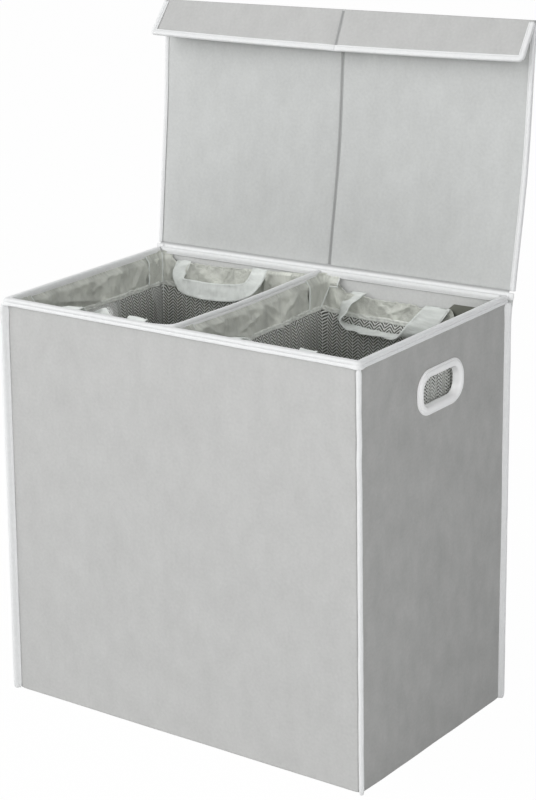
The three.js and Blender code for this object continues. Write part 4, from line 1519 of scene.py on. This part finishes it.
def add_strap(name, control, hinge_z):
    """A folded strap along its places."""
    places = curve_through([np.array(place) * MM for place, _ in control], STRAP_STEPS)
    widths = curve_through([across for _, across in control], STRAP_STEPS)
    runs = unit(np.gradient(places, axis=0))
    normals = unit(np.cross(runs, widths))
    along = travelled(places[:, None], 0, False)
    sections = []
    seed = len(name) + hinge_z / MM
    for s in along:
        ripple = STRAP_RIPPLE * soft_noise((s / STRAP_RIPPLE_LENGTH, seed, 0))
        section = []
        for a, b in STRAP_SECTION:
            place = (s / STRAP_CRUMPLE_LENGTH, a * STRAP_CRUMPLES_ACROSS, seed + 5)
            wave = math.cos(STRAP_WAVES_ACROSS * a + s / STRAP_WAVE_LENGTH)
            lift = ripple * wave + STRAP_CRUMPLE * soft_noise(place)
            section.append((a * STRAP_WIDTH / 2, b * STRAP_HALF_CLOTH + lift))
        sections.append(section)
    skin = settled(sweep(places, widths, normals, sections))
    lines = []
    for edge in (-1, 1):
        for face in (-1, 1):
            line = places + widths * edge * STRAP_STITCH_SHARE * STRAP_WIDTH
            lines.append((line + normals * face * STRAP_HALF_CLOTH, normals * face))
    strap = piece(f"{name}_strap", skin, STRAP_CLOTH)
    rows = settled(stitched(lines))
    stitches = piece(f"{name}_strap_stitches", rows, STRAP_THREAD, closed=False)
    for made in (strap, stitches):
        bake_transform(made)
    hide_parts(name)


# A front strap stands up in folds; these reaches and directions are not passed to add_strap
LEFT_FRONT_REACH = 175 * MM
RIGHT_FRONT_REACH = 59 * MM
BACK_STRAP_TOWARD = (0, -0.34, -0.94)
FRONT_STRAP_TOWARD = (0, 0.9, -0.43)


def add_bags():
    for side, sign, hem, creases in (
        ("left", -1, LEFT_HEM, LEFT_CREASES), ("right", 1, RIGHT_HEM, RIGHT_CREASES),
    ):
        bag = Bag(side, sign, hem, creases)
        add_band(bag)
        add_net(bag)
        for depth, sign_y in DEPTHS:
            for corner, sign_x in SIDES:
                add_tab(bag, depth, sign_y, corner, sign_x)
    back = BACK_STRAP_TOWARD
    front = FRONT_STRAP_TOWARD
    for name, control, hinge_z, toward, reach in (
        ("left_bag_back_handle", LEFT_BACK_STRAP, LEFT_BACK_STRAP_Z, back, STRAP_BLEND),
        ("right_bag_back_handle", RIGHT_BACK_STRAP, RIGHT_BACK_STRAP_Z, back, STRAP_BLEND),
        ("left_bag_front_handle", LEFT_FRONT_STRAP, FRONT_STRAP_Z, front, LEFT_FRONT_REACH),
        ("right_bag_front_handle", RIGHT_FRONT_STRAP, FRONT_STRAP_Z, front, RIGHT_FRONT_REACH),
    ):
        side, _, depth, _ = name.split("_")
        add_strap(name, control, hinge_z)


# Lid, drawn closed about its hinge line and then opened

LID_FRAME = Matrix.Translation(LID_HINGE) @ Matrix.Rotation(-LID_OPEN, 4, "X")
SEAM_SHIFT = 3 * MM
SEAM_HALF = 1.8 * MM
SEAM_DEPTH = 2 * MM
SEAM_CLOTH = 0.8 * MM
# Across the seam: share of its half width, and share of its depth. Its ends run into the boards
SEAM_PLACES = (
    (-2, 0.7), (-1, 0.1), (-0.5, 0.5), (0, 1), (0.5, 0.5), (1, 0.1), (2, 0.7),
)
# The lid has slipped to the right, more away from its hinge, and stands up near the hinge
LID_SLIP_FOOT = 3.5 * MM
LID_SLIP_MORE = 6 * MM
LID_SLIP_RANGE = (-0.1, 0.5)
LID_LIFT = 4 * MM
LID_LIFT_RANGE = (200 * MM, 340 * MM)
LID_SEED = 30
FLAP_SEED = 41
LID_SEAM_ROWS = 40
FLAP_SEAM_ROWS = 14
LID_SWELL = 0.8 * MM
LID_RIPPLE = 0.25 * MM
# The edge tape's section on the lid: distance out of the board's edge, and height over its middle
LID_TAPE_SECTION = np.array([
    (1.4, 0), (1.3, 1.6), (0.7, 2.9), (-0.6, 3.4), (-2.0, 3.45), (-3.2, 3.2), (-3.9, 2.75),
    (-4.5, 3.1), (-5.3, 3.0), (-5.6, 2.6), (-5.4, 2.25), (-3, 2.25), (0.1, 2.2), (0.2, 0),
    (0.1, -2.2), (-3, -2.25), (-5.4, -2.25), (-5.6, -2.6), (-5.3, -3.0), (-4.5, -3.1),
    (-3.9, -2.75), (-3.2, -3.2), (-2.0, -3.35), (-0.6, -3.3), (0.7, -2.8), (1.3, -1.6),
]) * MM
FLAP_TAPE_UPPER = [
    (1.45, 1.6), (0.7, 2.7), (-0.6, 3.1), (-2.4, 3.15), (-4.0, 2.85), (-4.8, 2.4),
    (-5.6, 2.7), (-6.8, 2.5), (-7.1, 2.1), (-6.9, 1.8), (-3, 1.75), (0.1, 1.7),
]
FLAP_TAPE_SECTION = MM * np.array([
    (1.6, 0), *FLAP_TAPE_UPPER, (0.2, 0), *mirrored(FLAP_TAPE_UPPER, 1),
])
LID_STITCH = (-3.9 * MM, 2.8 * MM)
FLAP_STITCH = (-4.8 * MM, 2.45 * MM)


def opened(skin):
    """A skin from the closed lid's frame, slipped and lifted, and then turned open."""
    moved = []
    for x, y, z in skin.points:
        slip = LID_SLIP_FOOT + LID_SLIP_MORE * ease(-y / LID_LENGTH, *LID_SLIP_RANGE)
        lift = LID_LIFT * (1 - ease(-y, *LID_LIFT_RANGE))
        moved.append((x + slip * min(1 + x / LID_HALF, 1), y, z + lift))
    return skin.placed(moved).moved(LID_FRAME)


def lid_piece(name, skin, material, slot, *nodes, closed=True):
    """A piece of the lid, drawn closed."""
    return dress(piece(name, opened(skin), material, closed), "lid", slot, *nodes)


def seam_cloth(rows, place):
    """The cloth that joins two boards, sunk in a V between them. place(x, along, depth)."""
    points = []
    for along in rows:
        points.append([
            place(SEAM_SHIFT + share * SEAM_HALF, along, SEAM_DEPTH * depth)
            for share, depth in SEAM_PLACES
        ])
    return thick(grid(points), SEAM_CLOTH)


def add_lid():
    start = -LID_BOARD_START
    end = -LID_BOARD_END
    for side, low_x, high_x in (
        ("left", -LID_EDGE, SEAM_SHIFT - SEAM_HALF), ("right", SEAM_SHIFT + SEAM_HALF, LID_EDGE),
    ):
        low = (low_x, end, -LID_BOARD / 2)
        high = (high_x, start, LID_BOARD / 2)
        relief = cloth_relief(low_x, high_x, LID_SEED + 7 * low_x, LID_SWELL, LID_RIPPLE, -1)
        name = f"lid_{side}_panel"
        skin = covered_board(low, high, 2, relief)
        lid_piece(f"{name}_cloth", skin, LID_CLOTH, "panel_cloth", name)

    def groove(x, along, depth):
        return (x, along, depth - LID_BOARD / 2 + SEAM_CLOTH / 2)

    skin = seam_cloth(np.linspace(start - SMALL_GAP, end + SMALL_GAP, LID_SEAM_ROWS), groove)
    lid_piece("lid_centre_seam_cloth", skin, LID_SEAM, "panel_cloth", "lid_centre_seam")

    loop = curve_through(LID_TAPE_SECTION, PROFILE_STEPS, closed=True)
    for side, sign in SIDES:
        line = []
        for y in stops(LID_TAPE_STOP - LID_LENGTH, start, TAPE_STEP):
            sway = TAPE_SWAY * soft_noise((sign, y / TAPE_SWAY_LENGTH, 4)) / 2
            line.append((sign * (LID_EDGE - abs(sway)), y, 0))
        name = f"lid_{side}_binding"
        skin = sweep(line, (sign, 0, 0), (0, 0, 1), loop)
        lid_piece(f"{name}_tape", skin, WHITE_TAPE, "white_tape", name)
        runs = [
            (np.array(line) + (sign * LID_STITCH[0], 0, facing * LID_STITCH[1]), (0, 0, facing))
            for facing in (-1, 1)
        ]
        lid_piece(f"{name}_stitches", stitched(runs), WHITE_THREAD, "white_tape", closed=False)


# The cloth over the flap line, as (along the lid, over its middle) places of its outer side
FLAP_FOLD = MM * np.array([
    (-371.6, -3.9), (-371.9, -2.2), (-372.1, 0.2), (-371.6, 1.9), (-370.2, 2.5), (-366, 2.55),
    (-360, 2.5),
])
FLAP_FOLD_CLOTH = 0.5 * MM
FLAP_FOLD_STEP = 14 * MM
FLAP_ROLL = 1.2 * MM
FLAP_ROLL_SIDES = 18


def add_flap_fold():
    """The lid's cover runs over its front edge and round the cord that the flap turns on."""
    xs = stops(-LID_EDGE, LID_EDGE, FLAP_FOLD_STEP)
    points = [[(x, y, z) for x in xs] for y, z in curve_through(FLAP_FOLD, 5)]
    cover = thick(grid(points), FLAP_FOLD_CLOTH)
    line = [(x, -LID_LENGTH, -FLAP_LINE_DROP) for x in xs]
    roll = sweep(line, (0, 1, 0), (0, 0, 1), circle(FLAP_ROLL, FLAP_ROLL_SIDES))
    skin = cover.with_skin(roll)
    lid_piece("flap_fold_cloth", skin, LID_CLOTH, "panel_cloth", "flap_hinge_strip")


LEFT_FLARE = math.radians(13)
RIGHT_FLARE = math.radians(8)
LEFT_FLARE_POWER = 1.35
RIGHT_FLARE_POWER = 1.9
KINK = math.radians(1.6)
KINK_WIDTH = 9 * MM
FLAP_TAPE_CORNERS = {-1: 3 * MM, 1: 6.5 * MM}
FLAP_CORNER_STEPS = 6
FLAP_CALM = 12 * MM


def flap_angle(x):
    """How far the flap stands off the lid's inner face: its ends stand out further."""
    share = min(abs(x) / LID_HALF, 1)
    if x < 0:
        flare = LEFT_FLARE * share ** LEFT_FLARE_POWER
    else:
        flare = RIGHT_FLARE * share ** RIGHT_FLARE_POWER
    return FLAP_OPEN + flare - KINK * math.exp(-(((x - SEAM_SHIFT) / KINK_WIDTH) ** 2))


def flap_place(x, down, out):
    """A place on the flap, in the lid's own frame: across, down from its line, and outwards."""
    angle = math.pi - flap_angle(x)
    y = -LID_LENGTH - down * math.cos(angle) - out * math.sin(angle)
    z = -FLAP_LINE_DROP - down * math.sin(angle) + out * math.cos(angle)
    return (x, y, z)


def add_flap_piece(name, skin, material, side, slot, *nodes, closed=True):
    """A piece of the flap, drawn in the lid's frame and turned open with it."""
    made = piece(name, opened(skin), material, closed)
    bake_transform(made)
    if nodes:
        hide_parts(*nodes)


def flap_tape_path(side):
    """Down the flap's end, round its corner and along its free edge to the seam: the place of
    each point on the flap (across, down) and its outward direction there."""
    corner = FLAP_TAPE_CORNERS[side]
    reach = LID_EDGE - corner
    foot = FLAP_END - corner
    path = [(side * LID_EDGE, down, side, 0) for down in stops(FLAP_TAPE_START, foot, TAPE_STEP)]
    for k in range(1, FLAP_CORNER_STEPS):
        angle = k / FLAP_CORNER_STEPS * math.pi / 2
        out = (math.cos(angle), math.sin(angle))
        path.append((
            side * (reach + corner * out[0]), foot + corner * out[1], side * out[0], out[1],
        ))
    edge = stops(side * SEAM_SHIFT, reach, TAPE_STEP)[::-1]
    return path + [(side * x, FLAP_END, 0, 1) for x in edge]


def add_flap():
    loop = curve_through(FLAP_TAPE_SECTION, PROFILE_STEPS, closed=True)
    for side_name, side in SIDES:
        low_x, high_x = sorted((SEAM_SHIFT + side * SEAM_HALF, side * LID_EDGE))
        low = (low_x, FLAP_START, -FLAP_BOARD / 2)
        high = (high_x, FLAP_END, FLAP_BOARD / 2)
        waves = cloth_relief(low_x, high_x, FLAP_SEED + side, LID_RIPPLE, LID_RIPPLE, 1)

        def relief(x, down):
            return waves(x, down) * ease(down, 0, FLAP_CALM)

        board = covered_board(low, high, 2, relief)
        board = board.placed([flap_place(*point) for point in board.points])
        name = f"flap_{side_name}_panel"
        add_flap_piece(f"{name}_cloth", board, PANEL_CLOTH, side, "panel_cloth", name)

        path = flap_tape_path(side)
        tape = tube([
            [flap_place(x + out * out_x, down + out * out_down, up) for out, up in loop]
            for x, down, out_x, out_down in path
        ])
        name = f"flap_{side_name}_tape"
        nodes = ["flap_binding"] if side < 0 else []
        add_flap_piece(name, tape, WHITE_TAPE, side, "white_tape", *nodes)
        runs = []
        for facing in (-1, 1):
            line = []
            faces = []
            for x, down, out_x, out_down in path:
                at = (x + FLAP_STITCH[0] * out_x, down + FLAP_STITCH[0] * out_down)
                line.append(flap_place(*at, facing * FLAP_STITCH[1]))
                faces.append(np.subtract(flap_place(*at, facing), flap_place(*at, 0)))
            runs.append((line, faces))
        rows = stitched(runs)
        add_flap_piece(f"{name}_stitches", rows, WHITE_THREAD, side, "white_tape", closed=False)

    def groove(x, along, depth):
        return flap_place(x, along, FLAP_BOARD / 2 - depth - SEAM_CLOTH / 2)

    rows = np.linspace(FLAP_START + SMALL_GAP, FLAP_END - SMALL_GAP, FLAP_SEAM_ROWS)
    seam = seam_cloth(rows, groove)
    add_flap_piece(
        "flap_centre_seam_cloth", seam, LID_SEAM, 1, "panel_cloth", "flap_centre_seam"
    )


# The cloth strip from the back of the rim to the lid: (depth, height) places of its middle
HINGE_PATH = MM * np.array([
    (182.2, 587.4), (182.2, 592), (182.2, 599), (182.4, 603), (183.4, 606), (185.6, 608.6),
    (187, 611),
])
HINGE_STEP = 10 * MM
HINGE_THICK = 0.9 * MM
HINGE_REACH = 304 * MM
HINGE_SWAY = 0.25 * MM


def add_hinge_strip():
    path = curve_through(HINGE_PATH, 4)
    xs = stops(-HINGE_REACH, HINGE_REACH, HINGE_STEP)
    points = [[
        (x, y + HINGE_SWAY * soft_noise((x / TAPE_SWAY_LENGTH, z / TAPE_SWAY_LENGTH, 6)), z)
        for x in xs
    ] for y, z in path]
    strip = piece("lid_hinge_cloth", thick(grid(points), HINGE_THICK), HINGE_CLOTH)
    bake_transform(strip)
    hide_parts("lid_hinge_strip")


add_walls()
add_shade_sheets()
add_floor_boards()
add_rim()
add_divider()
add_piping()
add_fins()
add_grips()
add_bags()
add_hinge_strip()
add_lid()
add_flap_fold()
add_flap()


# Floor and light

FLOOR_SIZE = 30
FLOOR_WHITE = (0.85, 0.85, 0.85, 1)
PURE_WHITE = (1, 1, 1, 1)
FLOOR_GLOW_SHARE = 0.985
AMBIENT = 0.37
AMBIENT_COLOUR = (0.97, 0.985, 1, 1)
LAMP_AIM = Vector((0, 0, 0.5))
LAMPS = (
    ("key", Vector((-2.6, -2.0, 2.6)), 3.0, 94),
    ("front_fill", Vector((0.8, -3.6, 1.8)), 1.6, 13),
    ("right_fill", Vector((2.4, -1.9, 1.3)), 0.8, 26),
)


def seen_directly(tree):
    """1 where the camera, a reflection or a see-through surface shows this, and 0 for its light."""
    path = tree.nodes.new("ShaderNodeLightPath")
    seen = path.outputs["Is Camera Ray"]
    for kind in ("Is Glossy Ray", "Is Transmission Ray"):
        either = tree.nodes.new("ShaderNodeMath")
        either.operation = "MAXIMUM"
        tree.links.new(seen, either.inputs[0])
        tree.links.new(path.outputs[kind], either.inputs[1])
        seen = either.outputs[0]
    return seen


def mix_to_output(tree, share, hidden, shown, output_kind):
    """Ends a tree with two shaders: the shown one by its share, and the hidden one for the rest."""
    mix = tree.nodes.new("ShaderNodeMixShader")
    output = tree.nodes.new(output_kind)
    tree.links.new(share, mix.inputs[0])
    tree.links.new(hidden.outputs[0], mix.inputs[1])
    tree.links.new(shown.outputs[0], mix.inputs[2])
    tree.links.new(mix.outputs[0], output.inputs["Surface"])


def add_floor():
    mesh = bpy.data.meshes.new("floor")
    half = FLOOR_SIZE / 2
    corners = [(-half, -half, 0), (half, -half, 0), (half, half, 0), (-half, half, 0)]
    mesh.from_pydata(corners, [], [(0, 1, 2, 3)])
    material = bpy.data.materials.new("floor")
    material.use_nodes = True
    tree = material.node_tree
    tree.nodes.clear()
    matt = tree.nodes.new("ShaderNodeBsdfDiffuse")
    matt.inputs["Color"].default_value = FLOOR_WHITE
    glow = tree.nodes.new("ShaderNodeEmission")
    glow.inputs["Color"].default_value = PURE_WHITE
    share = tree.nodes.new("ShaderNodeMath")
    share.operation = "MULTIPLY"
    share.inputs[1].default_value = FLOOR_GLOW_SHARE
    tree.links.new(seen_directly(tree), share.inputs[0])
    mix_to_output(tree, share.outputs[0], matt, glow, "ShaderNodeOutputMaterial")
    mesh.materials.append(material)
    floor = bpy.data.objects.new("floor", mesh)
    bpy.context.scene.collection.objects.link(floor)


def add_world():
    world = bpy.data.worlds.new("world")
    bpy.context.scene.world = world
    world.use_nodes = True
    tree = world.node_tree
    tree.nodes.clear()
    light = tree.nodes.new("ShaderNodeBackground")
    light.inputs["Color"].default_value = AMBIENT_COLOUR
    light.inputs["Strength"].default_value = AMBIENT
    backdrop = tree.nodes.new("ShaderNodeBackground")
    backdrop.inputs["Color"].default_value = PURE_WHITE
    mix_to_output(tree, seen_directly(tree), light, backdrop, "ShaderNodeOutputWorld")


def add_lamp(name, place, size, power):
    data = bpy.data.lights.new(name, "AREA")
    data.size = size
    data.energy = power
    lamp = bpy.data.objects.new(name, data)
    lamp.location = place
    lamp.rotation_mode = "QUATERNION"
    lamp.rotation_quaternion = (LAMP_AIM - place).to_track_quat("-Z", "Y")
    bpy.context.scene.collection.objects.link(lamp)


add_floor()
add_world()
for lamp in LAMPS:
    add_lamp(*lamp)
bpy.context.scene.view_settings.view_transform = "Standard"
